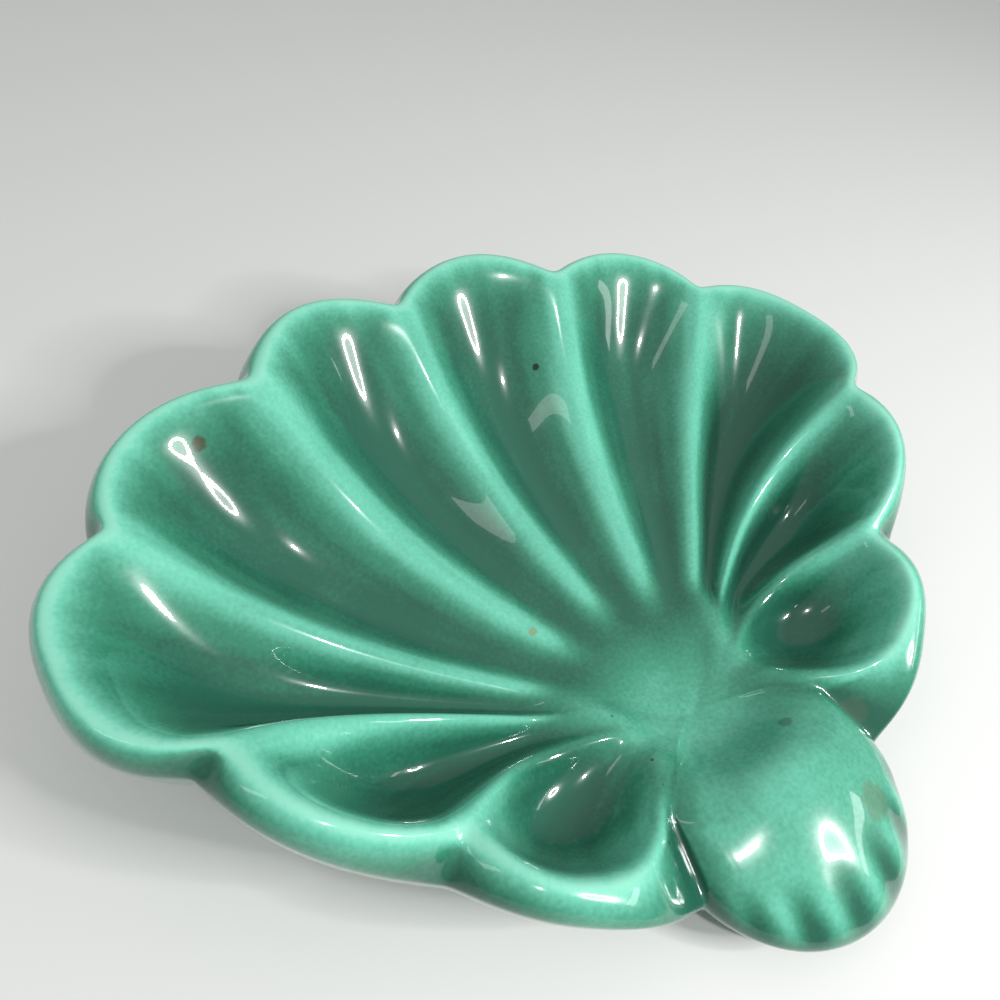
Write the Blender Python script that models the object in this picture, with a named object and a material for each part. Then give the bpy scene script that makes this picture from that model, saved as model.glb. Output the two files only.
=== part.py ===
"""Scallop shell dish: one glazed earthenware casting. Metres, +Z up.

The dish is one sheet of points. Columns run round it: ten lobes of the rim (the first and the last are
the ears beside the knob), then the two halves of the knob. Rows run out from the focus, where the
ridges meet, over the crest of the rim, down the outer wall and under to the foot. The glaze is that
sheet with a thickness, the clay lies inside it, and a second pool of glaze lies inside the foot ring.
"""
import math

import bpy
import numpy as np

# Fan of ridges, measured from the focus: middle ridge first, then outwards on either side
FOCUS_HEIGHT = 0.0084
FAN_LENGTH = 0.0992
NOTCH_ANGLES = (0.0, 22.7, 44.1, 68.4, 86.2)
NOTCH_REACH_SHARES = (1.0, 0.997, 1.044, 0.797, 0.52)
RIDGE_BOW = 0.0168
RIDGE_BOW_SHARES = (0.0, -0.05, -0.11, 1.0, 0.62)
RIDGE_STARTS = (0.0, 28.9, 50.8, 67.0, 77.7)
RIDGE_FALLS = (4.2, 4.2, 4.2, 3.8, 2.4)
RIDGE_SOFTNESS = 0.14
RIDGE_WIDENING = 0.75
TOE_REACH = 0.0240
TOE_REACH_SHARES = (1.0, 1.0, 1.05, 1.05, 0.72)
TOE_REACH_KNOB = 0.0060
TOE_POWER = 5.0

# Rim: crest heights at the notches, and how far each lobe swells out and up between them
RIM_HEIGHT = 0.0325
NOTCH_HEIGHT_SHARES = (1.0, 1.05, 0.927, 1.007, 0.738)
LOBE_SWELL = 0.0104
LOBE_SWELL_SHARES = (0.785, 0.55, 1.0, 0.21, 0.94)
SWELL_FALL = 4.0
LOBE_RISE = 0.0024
LOBE_RISE_SHARES = (0.84, 0.45, 0.23, 1.0, 2.7)
LOBE_POWERS = (2.0, 2.0, 3.0, 2.15, 2.4)
NOTCH_SOFTNESS = 0.10
RIM_ROUND = 0.0042

# Flutes between the ridges, and the hollow they run into
FLUTE_FLOOR = 0.0056
FLUTE_FALL = 8.0
FLUTE_FALL_SHARES = (1.0, 1.0, 1.0, 1.0, 2.0)
FLUTE_POWERS = (2.0, 2.0, 2.0, 2.0, 3.0)
FLUTE_ROUND = 0.0060
FLUTE_ROUND_SHARES = (1.0, 1.0, 1.0, 1.0, 0.55)
FLOOR_REACH = 0.0340
HUB_REACH = 0.0120
HUB_SLOPE = 0.19
HUB_CURVE = 0.0580

# Ear pockets: how far they lean from the knob, and the roll that closes them towards the focus
EAR_LEAN = 0.30
SHOULDER_REACH = 0.0132
SHOULDER_WIDTH = 0.0045
SHOULDER_HEIGHT = 0.0030

# Crease between each ear and the neck of the knob
CREASE_REACH = 0.0231
CREASE_ANGLE = 121.6
CREASE_HEIGHT = 0.0130
CREASE_START = 108.0
CREASE_BOW = 0.0020
CREASE_FALL = 1.2
CREASE_END_HEIGHT = 0.0086
GROOVE_DEPTH = 0.0008
GROOVE_WIDTH = 0.0016

# Knob: its top, its round outline and its ribs
KNOB_TOP_REACH = 0.0200
KNOB_TOP_HEIGHT = 0.0199
KNOB_RADIUS = 0.0234
KNOB_CENTRE_REACH = 0.0198
KNOB_SWEEP = 77.2
KNOB_EDGE_HEIGHT = 0.0082
NECK_START = 0.5
NECK_END = 0.75
RIB_HEIGHT = 0.00055
RIB_COUNT = 7
RIB_START_SHARE = 0.12

# Outer wall: widest line, its overhang past the crest, and the foot under it
EDGE_HEIGHT = 0.0265
EDGE_HEIGHT_SHARES = (1.02, 0.93, 0.82, 1.06, 0.73)
EDGE_OVERHANG = 0.0052
EDGE_OVERHANG_SHARES = (0.99, 1.23, 0.99, 0.95, 1.19)
EDGE_SMOOTHING = 0.0025
EDGE_SMOOTHING_SHARES = (0.87, 0.71, 0.69, 0.57, 1.6)
EDGE_DROP = 0.0054
UNDER_SHARE = 0.35
QUARTER = 0.5523
FOOT_INSET = 0.0173
FOOT_WAVES = 3
FOOT_LIFT = 0.0020
FOOT_WIDTH = 0.0055
RECESS_DEPTH = 0.0016

# Layers
GLAZE_THICKNESS = 0.0006
LAYER_GAP = 0.0003
POOL_THICKNESS = 0.0005
POOL_INSET = 0.0008
GLAZE_LINE = 0.90
NORMAL_PASSES = 3

# Sampling: places across a lobe, along a path, round the wall and under it
LOBE_SHARES = (-1.0, -0.9, -0.65, -0.25, 0.25, 0.65, 0.9)
COLUMNS_PER_RIB = 4
PATH_SHARES = (0.09, 0.16, 0.23, 0.31, 0.4, 0.5, 0.6, 0.7, 0.79, 0.87, 0.925, 0.96, 0.985, 1.0)
WALL_SHARES = (0.25, 0.5, 0.75, 1.0)
UNDER_SHARES = (0.25, 0.5, 0.73, GLAZE_LINE)

MIDDLE_SHARE = 0.33
MIDDLE = np.array([0.0, FAN_LENGTH * MIDDLE_SHARE, 0.0])

LOBES = 10
STATIONS = LOBES + 2
CREASE_STATION = LOBES
KNOB_STATION = LOBES + 1


def empty_scene():
    """Removes every object of the scene."""
    for item in list(bpy.data.objects):
        bpy.data.objects.remove(item, do_unlink=True)


def make_material(name, colour, roughness, metallic=0.0):
    """Plain Principled material."""
    material = bpy.data.materials.new(name)
    material.use_nodes = True
    shader = material.node_tree.nodes["Principled BSDF"]
    shader.inputs["Base Color"].default_value = (*colour, 1.0)
    shader.inputs["Roughness"].default_value = roughness
    shader.inputs["Metallic"].default_value = metallic
    return material


def from_angle(angle, reach):
    """Point in plan at an angle from the middle ridge, to the right of it, and a reach from the focus."""
    turn = math.radians(angle)
    return np.array([reach * math.sin(turn), reach * math.cos(turn)])


def mirrored(values, crease=0.0, middle=0.0, sign=1.0):
    """Spreads values for the middle notch and outwards over the stations of both sides."""
    row = np.zeros(STATIONS)
    half = LOBES // 2
    for step, value in enumerate(values):
        row[half + step] = value
        row[half - step] = value * (sign if step else 1.0)
    row[CREASE_STATION] = crease
    row[0] = crease * sign
    row[KNOB_STATION] = middle
    return row


def per_lobe(shares, size):
    """One value for each station's lobe, the same on both sides, and none on the knob."""
    row = np.zeros(STATIONS)
    half = LOBES // 2
    for step, share in enumerate(shares):
        row[half + step] = share * size
        row[half - 1 - step] = share * size
    return row


def closed_spline(values):
    """Smooth closed curve through one value at each whole station, as a function of the station."""
    count = len(values)
    near = np.eye(count)
    matrix = 4 * near + np.roll(near, 1, 1) + np.roll(near, -1, 1)
    slopes = np.linalg.solve(matrix, 3 * (np.roll(values, -1, 0) - np.roll(values, 1, 0)))

    def curve(station):
        start = np.floor(station).astype(int) % count
        stop = (start + 1) % count
        part = station - np.floor(station)
        if values.ndim > 1:
            part = part[:, None]
        rise = part * part * (3 - 2 * part)
        leave = part * (1 - part) ** 2
        arrive = part * part * (1 - part)
        straight = (1 - rise) * values[start] + rise * values[stop]
        return straight + leave * slopes[start] - arrive * slopes[stop]

    return curve


def soften(distance, radius):
    """Distance that starts level and runs straight after about one radius."""
    return np.sqrt(distance**2 + radius**2) - radius


def scallop(across, power, softness):
    """0 on the notches (across -1 and 1) and 1 in mid lobe; softness rounds the notches."""
    depth = soften(1 - np.abs(across), softness) / soften(1.0, softness)
    return 1 - (1 - depth) ** power


def smooth_step(value):
    """0 below 0, 1 above 1, and 3v^2 - 2v^3 between."""
    part = np.clip(value, 0, 1)
    return part * part * (3 - 2 * part)


def cubic(way, first, second, third, fourth):
    """Cubic curve of four control points."""
    left = 1 - way
    return left**3 * first + 3 * left**2 * way * second + 3 * left * way**2 * third + way**3 * fourth


def lobe_rise(station):
    """Height by which the rim rises over its loop in each lobe."""
    lobe = np.floor(station).astype(int)
    across = 2 * (station - lobe) - 1
    power = np.where(lobe % (LOBES - 1) == 0, 3.0, 2.0)
    return per_lobe(LOBE_RISE_SHARES, LOBE_RISE)[lobe] * scallop(across, power, NOTCH_SOFTNESS)


def unit(vectors):
    """Vectors scaled to length 1."""
    return vectors / np.linalg.norm(vectors, axis=-1, keepdims=True)


def columns():
    """Stations of the columns round the dish: denser at the notches, even on the knob."""
    lobes = [lobe + (share + 1) / 2 for lobe in range(LOBES) for share in LOBE_SHARES]
    count = RIB_COUNT * COLUMNS_PER_RIB
    knob = [LOBES + 2 * step / count for step in range(count)]
    return np.array(lobes + knob)


def notch_points():
    """Plan and height of the crest at each station, with the focus at the plan's origin."""
    half = LOBES // 2
    points = np.zeros((STATIONS, 3))
    for step, angle in enumerate(NOTCH_ANGLES):
        place = from_angle(angle, FAN_LENGTH * NOTCH_REACH_SHARES[step])
        height = RIM_HEIGHT * NOTCH_HEIGHT_SHARES[step]
        points[half + step] = (place[0], place[1], height)
        points[half - step] = (-place[0], place[1], height)
    crease = from_angle(CREASE_ANGLE, CREASE_REACH)
    points[CREASE_STATION] = (crease[0], crease[1], CREASE_HEIGHT)
    points[0] = (-crease[0], crease[1], CREASE_HEIGHT)
    points[KNOB_STATION] = (0.0, -KNOB_TOP_REACH, KNOB_TOP_HEIGHT)
    return points


def outward(curve, station):
    """Plan direction to the left of travel along a curve, which runs clockwise round the dish."""
    step = 0.001
    along = curve(station + step)[:, :2] - curve(station - step)[:, :2]
    return unit(np.stack([-along[:, 1], along[:, 0]], 1))


def crest_line(station):
    """Crest of the rim without its swells, and the swell of each lobe as a vector.

    The crest is a smooth loop through the notches, raised in each lobe. On the knob it is an arc from
    one crease over the knob's top to the other crease, and nothing swells.
    """
    loop = closed_spline(notch_points())
    lobe = np.floor(station).astype(int)
    across = 2 * (station - lobe) - 1
    power = np.maximum(per_lobe(LOBE_POWERS, 1.0)[lobe], 2.0)
    size = per_lobe(LOBE_SWELL_SHARES, LOBE_SWELL)[lobe] * scallop(across, power, NOTCH_SOFTNESS)
    swell = outward(loop, station) * size[:, None]
    crest = loop(station)
    crest[:, 2] += lobe_rise(station)

    side = np.clip(station - KNOB_STATION, -1, 1)
    start = from_angle(CREASE_ANGLE, CREASE_REACH)
    inner = 1 - np.abs(side)
    arc_x = -np.sign(side) * start[0] * (1 - inner**1.6)
    arc_y = start[1] + (-KNOB_TOP_REACH - start[1]) * (1 - (1 - inner) ** 2)
    arc_z = CREASE_HEIGHT + (KNOB_TOP_HEIGHT - CREASE_HEIGHT) * knob_dome(station)
    on_knob = (station >= CREASE_STATION)[:, None]
    return np.where(on_knob, np.stack([arc_x, arc_y, arc_z], 1), crest), swell


def knob_dome(station):
    """1 on the knob's middle line, 0 at the creases, rounded at both."""
    side = np.clip(station - KNOB_STATION, -1, 1)
    return np.clip(np.cos(math.pi * side / 2), 0, 1) ** 1.3


def path_points(station, crest):
    """Two middle control points of each path from the focus, at a third and two thirds of the way.

    The first sets the way the path leaves the focus, the second bows it away from the knob.
    """
    starts = np.zeros((STATIONS, 2))
    half = LOBES // 2
    for step, angle in enumerate((*RIDGE_STARTS, CREASE_START)):
        starts[half + step] = from_angle(angle, 1.0)
        starts[half - step] = from_angle(-angle, 1.0)
    starts[KNOB_STATION] = from_angle(180.0, 1.0)
    bows = closed_spline(mirrored([share * RIDGE_BOW for share in RIDGE_BOW_SHARES], CREASE_BOW, 0.0, -1.0))
    out = crest[:, :2]
    reach = np.linalg.norm(out, axis=1, keepdims=True)
    left = unit(np.stack([-out[:, 1], out[:, 0]], 1))
    first = unit(closed_spline(starts)(station)) * reach / 3
    second = out * 2 / 3 + left * bows(station)[:, None]
    return first, second


def edge_line(station):
    """Widest line of the outer wall, and the loop through its notches.

    It is the notches pushed out, with smaller swells, and on the knob an arc of a circle.
    """
    points = notch_points()
    overhang = mirrored([share * EDGE_OVERHANG for share in EDGE_OVERHANG_SHARES])
    points[:, :2] += unit(points[:, :2] - MIDDLE[:2]) * overhang[:, None]
    points[:, 2] = mirrored([share * EDGE_HEIGHT for share in EDGE_HEIGHT_SHARES])
    sweep = math.radians(KNOB_SWEEP)
    end_x = KNOB_RADIUS * math.sin(sweep)
    end_y = -KNOB_CENTRE_REACH - KNOB_RADIUS * math.cos(sweep)
    points[CREASE_STATION] = (end_x, end_y, CREASE_END_HEIGHT)
    points[0] = (-end_x, end_y, CREASE_END_HEIGHT)
    points[KNOB_STATION] = (0.0, -KNOB_CENTRE_REACH - KNOB_RADIUS, KNOB_EDGE_HEIGHT)
    loop = closed_spline(points)

    lobe = np.floor(station).astype(int)
    across = 2 * (station - lobe) - 1
    power = np.maximum(per_lobe(LOBE_POWERS, 1.0)[lobe], 2.0)
    size = per_lobe(LOBE_SWELL_SHARES, LOBE_SWELL) - per_lobe(EDGE_SMOOTHING_SHARES, EDGE_SMOOTHING)
    swell = size[lobe] * scallop(across, power, NOTCH_SOFTNESS)
    ways = outward(closed_spline(notch_points()), station)
    edge = loop(station)
    edge[:, :2] += ways * swell[:, None]
    edge[:, 2] += lobe_rise(station)

    side = np.clip(station - KNOB_STATION, -1, 1)
    turn = side * sweep
    round_z = KNOB_EDGE_HEIGHT + (CREASE_END_HEIGHT - KNOB_EDGE_HEIGHT) * side**2
    round_x = -KNOB_RADIUS * np.sin(turn)
    round_y = -KNOB_CENTRE_REACH - KNOB_RADIUS * np.cos(turn)
    on_knob = station >= CREASE_STATION
    return np.where(on_knob[:, None], np.stack([round_x, round_y, round_z], 1), edge), loop(station)


def foot_line(loop):
    """Outer edge of the foot: an egg, made of a few cosine waves, that keeps its inset from the wall."""
    spokes = loop[:, :2] - MIDDLE[:2]
    angles = np.arctan2(spokes[:, 0], spokes[:, 1])
    waves = np.cos(angles[:, None] * np.arange(FOOT_WAVES))
    reach = waves @ np.linalg.lstsq(waves, np.linalg.norm(spokes, axis=1) - FOOT_INSET, rcond=None)[0]
    foot = np.zeros((len(loop), 3))
    foot[:, 0] = reach * np.sin(angles)
    foot[:, 1] = MIDDLE[1] + reach * np.cos(angles)
    return foot


def bowl_plan(station, way, crest, swell):
    """Plan of the bowl: bowed curves from the focus to the crest, pushed out near the rim by the swell."""
    first, second = path_points(station, crest)
    way = way[..., None]
    plan = 3 * way * (1 - way) ** 2 * first[:, None] + 3 * way**2 * (1 - way) * second[:, None]
    return plan + way**3 * crest[:, None, :2] + way**SWELL_FALL * swell[:, None]


def bowl_rows(station, crest, swell):
    """Inside of the dish, focus to crest.

    Ridges and flute beds both rise to the crest by a power of the way out, softened over the rim's
    round, and a scallop across the lobe goes from one to the other. The ridges sink into the hollow at
    their toes, a roll closes each ear's pocket, and a groove follows each crease. On the knob the neck
    rises to the top in one soft slope.
    """
    way = np.array(PATH_SHARES)[None, :]
    plan = bowl_plan(station, way, crest, swell)
    reach = np.linalg.norm(plan, axis=-1)
    length = np.linalg.norm(crest[:, :2] + swell, axis=1)[:, None]
    inside = (1 - way) * length
    top = crest[:, 2:3]
    lobe = np.floor(station).astype(int)
    across = (2 * (station - lobe) - 1)[:, None]
    on_knob = (station >= CREASE_STATION)[:, None]
    is_ear = (lobe % (LOBES - 1) == 0)[:, None] & ~on_knob
    across = across + EAR_LEAN * np.where(lobe == 0, -1, 1)[:, None] * (1 - across**2) * is_ear

    ridge_left = 1 - soften(inside, RIM_ROUND) / soften(length, RIM_ROUND)
    falls = closed_spline(mirrored(RIDGE_FALLS, CREASE_FALL, CREASE_FALL))(station)[:, None]
    ridge_top = np.where(on_knob, CREASE_HEIGHT, top)
    ridge = FOCUS_HEIGHT + (ridge_top - FOCUS_HEIGHT) * ridge_left**falls
    rounding = np.maximum(per_lobe(FLUTE_ROUND_SHARES, FLUTE_ROUND)[lobe], RIM_ROUND / 2)[:, None]
    flute_left = 1 - soften(inside, rounding) / soften(length, rounding)
    flute_fall = FLUTE_FALL * np.maximum(per_lobe(FLUTE_FALL_SHARES, 1.0)[lobe], 1.0)[:, None]
    bed = FLUTE_FLOOR + (FOCUS_HEIGHT - FLUTE_FLOOR) * np.exp(-((reach / FLOOR_REACH) ** 3))
    bed = bed + (top - bed) * flute_left**flute_fall

    power = np.maximum(per_lobe(FLUTE_POWERS, 1.0)[lobe], 2.0)[:, None]
    flute = np.where(on_knob, 0.0, scallop(across, power, RIDGE_SOFTNESS + RIDGE_WIDENING * (1 - way)))
    toe_sizes = mirrored([share * TOE_REACH for share in TOE_REACH_SHARES], TOE_REACH_KNOB, TOE_REACH_KNOB)
    toe = 1 - np.exp(-((reach / closed_spline(toe_sizes)(station)[:, None]) ** TOE_POWER))
    height = bed + (ridge - bed) * (1 - flute) * toe
    shoulder = np.exp(-(((reach - SHOULDER_REACH) / SHOULDER_WIDTH) ** 2)) * flute * is_ear
    height = height + SHOULDER_HEIGHT * shoulder

    bend = 1 + (2 - NECK_START) * way + (NECK_END + NECK_START - 3) * way**2
    neck = (KNOB_TOP_HEIGHT - CREASE_HEIGHT) * (1 - (1 - way) ** 2 * bend)
    height = height + neck * np.where(on_knob, knob_dome(station)[:, None], 0.0)

    creases = [int(np.argmin(np.abs(station - place))) for place in (0, CREASE_STATION)]
    apart = np.minimum(*[np.linalg.norm(plan - plan[crease], axis=-1) for crease in creases])
    groove = np.exp(-((apart / GROOVE_WIDTH) ** 2)) * smooth_step((way - 0.35) / 0.4)
    height = height - GROOVE_DEPTH * groove

    hub = FOCUS_HEIGHT - HUB_SLOPE * plan[..., 1] + (plan**2).sum(-1) / (2 * HUB_CURVE)
    height = height + (hub - height) * np.exp(-((reach / HUB_REACH) ** 4))
    return np.concatenate([plan, height[..., None]], -1)


def wall_rows(station, bowl, edge):
    """Outside from the crest to the widest line, ribbed on the knob by a cosine.

    It leaves the crest in the bowl's own tangent plane and arrives straight down, with control points
    at the share that makes a quarter ellipse where the crest is level.
    """
    way = np.array(WALL_SHARES)[None, :, None]
    crest = bowl[:, -1]
    out = (edge - crest)[:, :2]
    along = crest - bowl[:, -2]
    around = np.roll(crest, -1, 0) - np.roll(crest, 1, 0)
    solved = np.linalg.solve(np.stack([along[:, :2], around[:, :2]], -1), out[..., None])[..., 0]
    slope = np.clip(solved[:, 0] * along[:, 2] + solved[:, 1] * around[:, 2], (edge - crest)[:, 2], 0)
    start = crest + QUARTER * np.concatenate([out, slope[:, None]], 1)
    stop = np.concatenate([edge[:, :2], edge[:, 2:] + QUARTER * (crest - edge)[:, 2:]], 1)
    rows = cubic(way, crest[:, None], start[:, None], stop[:, None], edge[:, None])
    side = np.clip(station - KNOB_STATION, -1, 1)
    wave = np.cos(math.pi * RIB_COUNT * side) * (1 - side**4) * (station >= CREASE_STATION)
    share = np.clip((np.array(WALL_SHARES) - RIB_START_SHARE) / (1 - RIB_START_SHARE), 0, 1)
    rows[..., 2] += RIB_HEIGHT * wave[:, None] * np.sin(math.pi * share)[None] ** 1.5
    return rows


def under_rows(edge, foot):
    """Underside from the widest line in to the foot: it starts straight down and ends level."""
    way = np.array(UNDER_SHARES)[None, :, None]
    end = foot + np.array([0.0, 0.0, FOOT_LIFT])
    room = np.minimum(EDGE_DROP, QUARTER * (edge[:, 2] - FOOT_LIFT))
    start = edge - np.stack([0 * room, 0 * room, room], 1)
    stop = end + (edge - end) * np.array([UNDER_SHARE, UNDER_SHARE, 0.0])
    return cubic(way, edge[:, None], start[:, None], stop[:, None], end[:, None])


def short_diagonals(grid):
    """Whether each cell of a closed grid is split from its own corner, which is where that is shorter."""
    there = np.roll(grid, -1, 0)
    own = np.linalg.norm(there[:, 1:] - grid[:, :-1], axis=-1)
    other = np.linalg.norm(there[:, :-1] - grid[:, 1:], axis=-1)
    return own <= other


def ring_faces(splits, first=0):
    """Triangles between neighbouring columns and rows of a closed grid whose points start at first."""
    columns_count, cells = splits.shape
    rows_count = cells + 1
    faces = []
    for column in range(columns_count):
        for row in range(cells):
            here = first + column * rows_count + row
            there = first + ((column + 1) % columns_count) * rows_count + row
            if splits[column, row]:
                faces += [(here, there, there + 1), (here, there + 1, here + 1)]
            else:
                faces += [(here, there, here + 1), (there, there + 1, here + 1)]
    return faces


def fan_faces(columns_count, rows_count, pole, row, first=0, outside=True):
    """Triangles from a pole to one row of a closed grid."""
    faces = []
    for column in range(columns_count):
        here = first + column * rows_count + row
        there = first + ((column + 1) % columns_count) * rows_count + row
        faces.append((pole, here, there) if outside else (pole, there, here))
    return faces


def make_object(name, points, faces, material):
    """Mesh object with smooth shading from points and faces."""
    mesh = bpy.data.meshes.new(name)
    mesh.from_pydata([tuple(point) for point in points], [], faces)
    mesh.update()
    mesh.shade_smooth()
    mesh.materials.append(material)
    item = bpy.data.objects.new(name, mesh)
    bpy.context.collection.objects.link(item)
    return item


def sheet_normals(pole, grid):
    """Outward normals of the sheet at its pole and at its points, evened out between its columns.

    Even normals keep the layers under a narrow ridge from crossing.
    """
    before = np.concatenate([np.broadcast_to(pole, (len(grid), 1, 3)), grid[:, :-1]], 1)
    after = np.concatenate([grid[:, 1:], grid[:, -1:]], 1)
    along = after - before
    around = np.roll(grid, -1, 0) - np.roll(grid, 1, 0)
    normals = unit(np.cross(around, along))
    for _ in range(NORMAL_PASSES):
        normals = unit(np.roll(normals, 1, 0) + 2 * normals + np.roll(normals, -1, 0))
    return np.array([0.0, 0.0, 1.0]), normals


def shift_to_middle(grid):
    """Plan shift that puts the middle of the sheet's box over the origin."""
    low = grid[..., :2].min((0, 1))
    high = grid[..., :2].max((0, 1))
    return np.array([*(-(low + high) / 2), 0.0])


def make_glaze_coat(pole, grid, pole_normal, normals, material):
    """Closed skin: the sheet, and the same sheet drawn in by the glaze's thickness, joined at the hem."""
    count, rows, _ = grid.shape
    inner = grid - normals * GLAZE_THICKNESS
    under = pole - pole_normal * GLAZE_THICKNESS
    points = np.concatenate([[pole], grid.reshape(-1, 3), [under], inner.reshape(-1, 3)])
    second = 1 + count * rows
    splits = short_diagonals(grid)
    faces = fan_faces(count, rows, 0, 0, 1, False) + ring_faces(splits, 1)
    inside = fan_faces(count, rows, second, 0, second + 1, False) + ring_faces(splits, second + 1)
    faces += [tuple(reversed(face)) for face in inside]
    for column in range(count):
        here = 1 + column * rows + rows - 1
        there = 1 + ((column + 1) % count) * rows + rows - 1
        faces += [(here, there, there + second), (here, there + second, here + second)]
    return make_object("glaze_coat", points, faces, material)


def make_clay_body(pole, grid, pole_normal, normals, foot, middle, material):
    """Casting: the sheet drawn in under the glaze, then the foot ring and the recess inside it."""
    drawn = GLAZE_THICKNESS + LAYER_GAP
    lift = np.array([0.0, 0.0, FOOT_LIFT + drawn])
    inner = foot - unit(foot - middle) * FOOT_WIDTH
    ceiling = np.array([0.0, 0.0, RECESS_DEPTH])
    rings = np.stack([foot + lift, foot, inner, inner + ceiling], 1)
    body = np.concatenate([grid - normals * drawn, rings], 1)
    count, rows, _ = body.shape
    splits = np.concatenate([short_diagonals(grid), np.ones((count, 4), bool)], 1)
    points = np.concatenate([[pole - pole_normal * drawn], body.reshape(-1, 3), [middle + ceiling]])
    faces = fan_faces(count, rows, 0, 0, 1, False) + ring_faces(splits, 1)
    faces += fan_faces(count, rows, len(points) - 1, rows - 1, 1, True)
    return make_object("clay_body", points, faces, material)


def make_underside_glaze(foot, middle, material):
    """Thin pool of glaze on the ceiling of the recess, clear of the foot ring."""
    rim = foot - unit(foot - middle) * (FOOT_WIDTH + POOL_INSET)
    top = np.array([0.0, 0.0, RECESS_DEPTH - LAYER_GAP])
    bottom = top - np.array([0.0, 0.0, POOL_THICKNESS])
    grid = np.stack([rim + top, rim + bottom], 1)
    count, rows, _ = grid.shape
    points = np.concatenate([[middle + top], grid.reshape(-1, 3), [middle + bottom]])
    faces = fan_faces(count, rows, 0, 0, 1, False) + ring_faces(short_diagonals(grid), 1)
    faces += fan_faces(count, rows, len(points) - 1, rows - 1, 1, True)
    return make_object("underside_glaze", points, faces, material)


def main():
    """Builds the dish."""
    empty_scene()
    clay = make_material("fired_clay", (0.80, 0.72, 0.60), 0.85)
    green = make_material("green_glaze", (0.10, 0.42, 0.27), 0.08)
    pool = make_material("underside_green_glaze", (0.09, 0.36, 0.23), 0.12)

    station = columns()
    crest, swell = crest_line(station)
    edge, loop = edge_line(station)
    foot = foot_line(loop)
    bowl = bowl_rows(station, crest, swell)
    grid = np.concatenate([bowl, wall_rows(station, bowl, edge), under_rows(edge, foot)], 1)
    shift = shift_to_middle(grid)
    grid = grid + shift
    foot = foot + shift
    pole = np.array([0.0, 0.0, FOCUS_HEIGHT]) + shift
    middle = MIDDLE + shift
    pole_normal, normals = sheet_normals(pole, grid)

    make_clay_body(pole, grid, pole_normal, normals, foot, middle, clay)
    make_glaze_coat(pole, grid, pole_normal, normals, green)
    make_underside_glaze(foot, middle, pool)


main()
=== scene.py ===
"""Scallop shell dish under a glossy green glaze: fine clay and glaze on the CAD frame, and their stage.

The dish is one sheet of points, a function of two parameters. The first, the station, runs clockwise round
the rim: lobes 0 to 9 (the first and the last are the ears beside the knob), then 10 to 12 over the knob. The
second, the way, runs out from the focus where the ridges meet, over the crest, down the wall and under to
the foot. The glaze is that sheet with a thickness, and the clay lies inside it.
"""

import math

import bpy
import numpy as np
from mathutils import Matrix, Vector


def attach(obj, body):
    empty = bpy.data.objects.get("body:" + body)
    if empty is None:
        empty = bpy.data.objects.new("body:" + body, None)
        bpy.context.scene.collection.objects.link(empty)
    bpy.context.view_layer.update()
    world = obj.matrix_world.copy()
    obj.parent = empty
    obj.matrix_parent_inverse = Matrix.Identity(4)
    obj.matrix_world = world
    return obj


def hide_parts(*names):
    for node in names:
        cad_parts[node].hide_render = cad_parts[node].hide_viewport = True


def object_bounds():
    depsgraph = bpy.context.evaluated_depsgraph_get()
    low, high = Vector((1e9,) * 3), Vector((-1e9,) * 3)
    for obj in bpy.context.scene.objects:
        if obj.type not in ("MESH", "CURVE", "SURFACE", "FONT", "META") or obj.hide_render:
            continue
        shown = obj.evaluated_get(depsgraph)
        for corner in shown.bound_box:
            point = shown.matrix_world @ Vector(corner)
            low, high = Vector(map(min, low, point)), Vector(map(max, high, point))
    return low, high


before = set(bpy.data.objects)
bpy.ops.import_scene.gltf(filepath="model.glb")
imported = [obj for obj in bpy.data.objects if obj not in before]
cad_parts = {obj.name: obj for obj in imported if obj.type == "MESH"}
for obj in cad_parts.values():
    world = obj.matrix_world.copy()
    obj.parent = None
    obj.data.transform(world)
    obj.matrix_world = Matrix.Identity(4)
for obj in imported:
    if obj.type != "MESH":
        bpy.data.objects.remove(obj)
CAD_LOW, CAD_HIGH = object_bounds()

bl_info = {
    "name": "Scallop Shell Dish",
    "version": (1, 0, 0),
    "blender": (4, 5, 0),
    "location": "View3D > Sidebar > Dish",
    "description": "Builds a glazed scallop shell dish, its glazes and its stage",
    "category": "Add Mesh",
}

# Stations round the rim
LOBES = 10
HALF = LOBES // 2
STATIONS = LOBES + 2
CREASE = LOBES
KNOB = LOBES + 1

# Shares for the middle notch and the ones further out, the same on both sides
NOTCH_ANGLES = (0.0, 22.7, 44.1, 68.4, 86.2)
NOTCH_REACHES = (1.0, 0.997, 1.044, 0.797, 0.52)
NOTCH_HEIGHTS = (1.0, 1.05, 0.927, 1.007, 0.738)
RIDGE_BOWS = (0.0, -0.05, -0.11, 1.0, 0.62)
RIDGE_STARTS = (0.0, 28.9, 50.8, 67.0, 77.7, 108.0)
RIDGE_FALLS = (4.2, 4.2, 4.2, 3.8, 2.4)
TOE_REACHES = (1.0, 1.0, 1.05, 1.05, 0.72)
EDGE_HEIGHTS = (1.02, 0.93, 0.82, 1.06, 0.73)
EDGE_OVERHANGS = (0.99, 1.23, 0.99, 0.95, 1.19)

# Shares for the middle lobes and the ones further out
LOBE_SWELLS = (0.785, 0.55, 1.0, 0.21, 0.94)
LOBE_RISES = (0.84, 0.45, 0.23, 1.0, 2.7)
LOBE_POWERS = (2.0, 2.0, 3.0, 2.15, 2.4)
FLUTE_ROUNDS = (1.0, 1.0, 0.9, 0.65, 0.55)
FLUTE_FALLS = (1.0, 1.05, 1.2, 1.6, 2.0)
FLUTE_POWERS = (2.0, 2.0, 2.1, 2.7, 3.0)
EDGE_SMOOTHINGS = (0.87, 0.71, 0.69, 0.57, 1.6)

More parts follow.
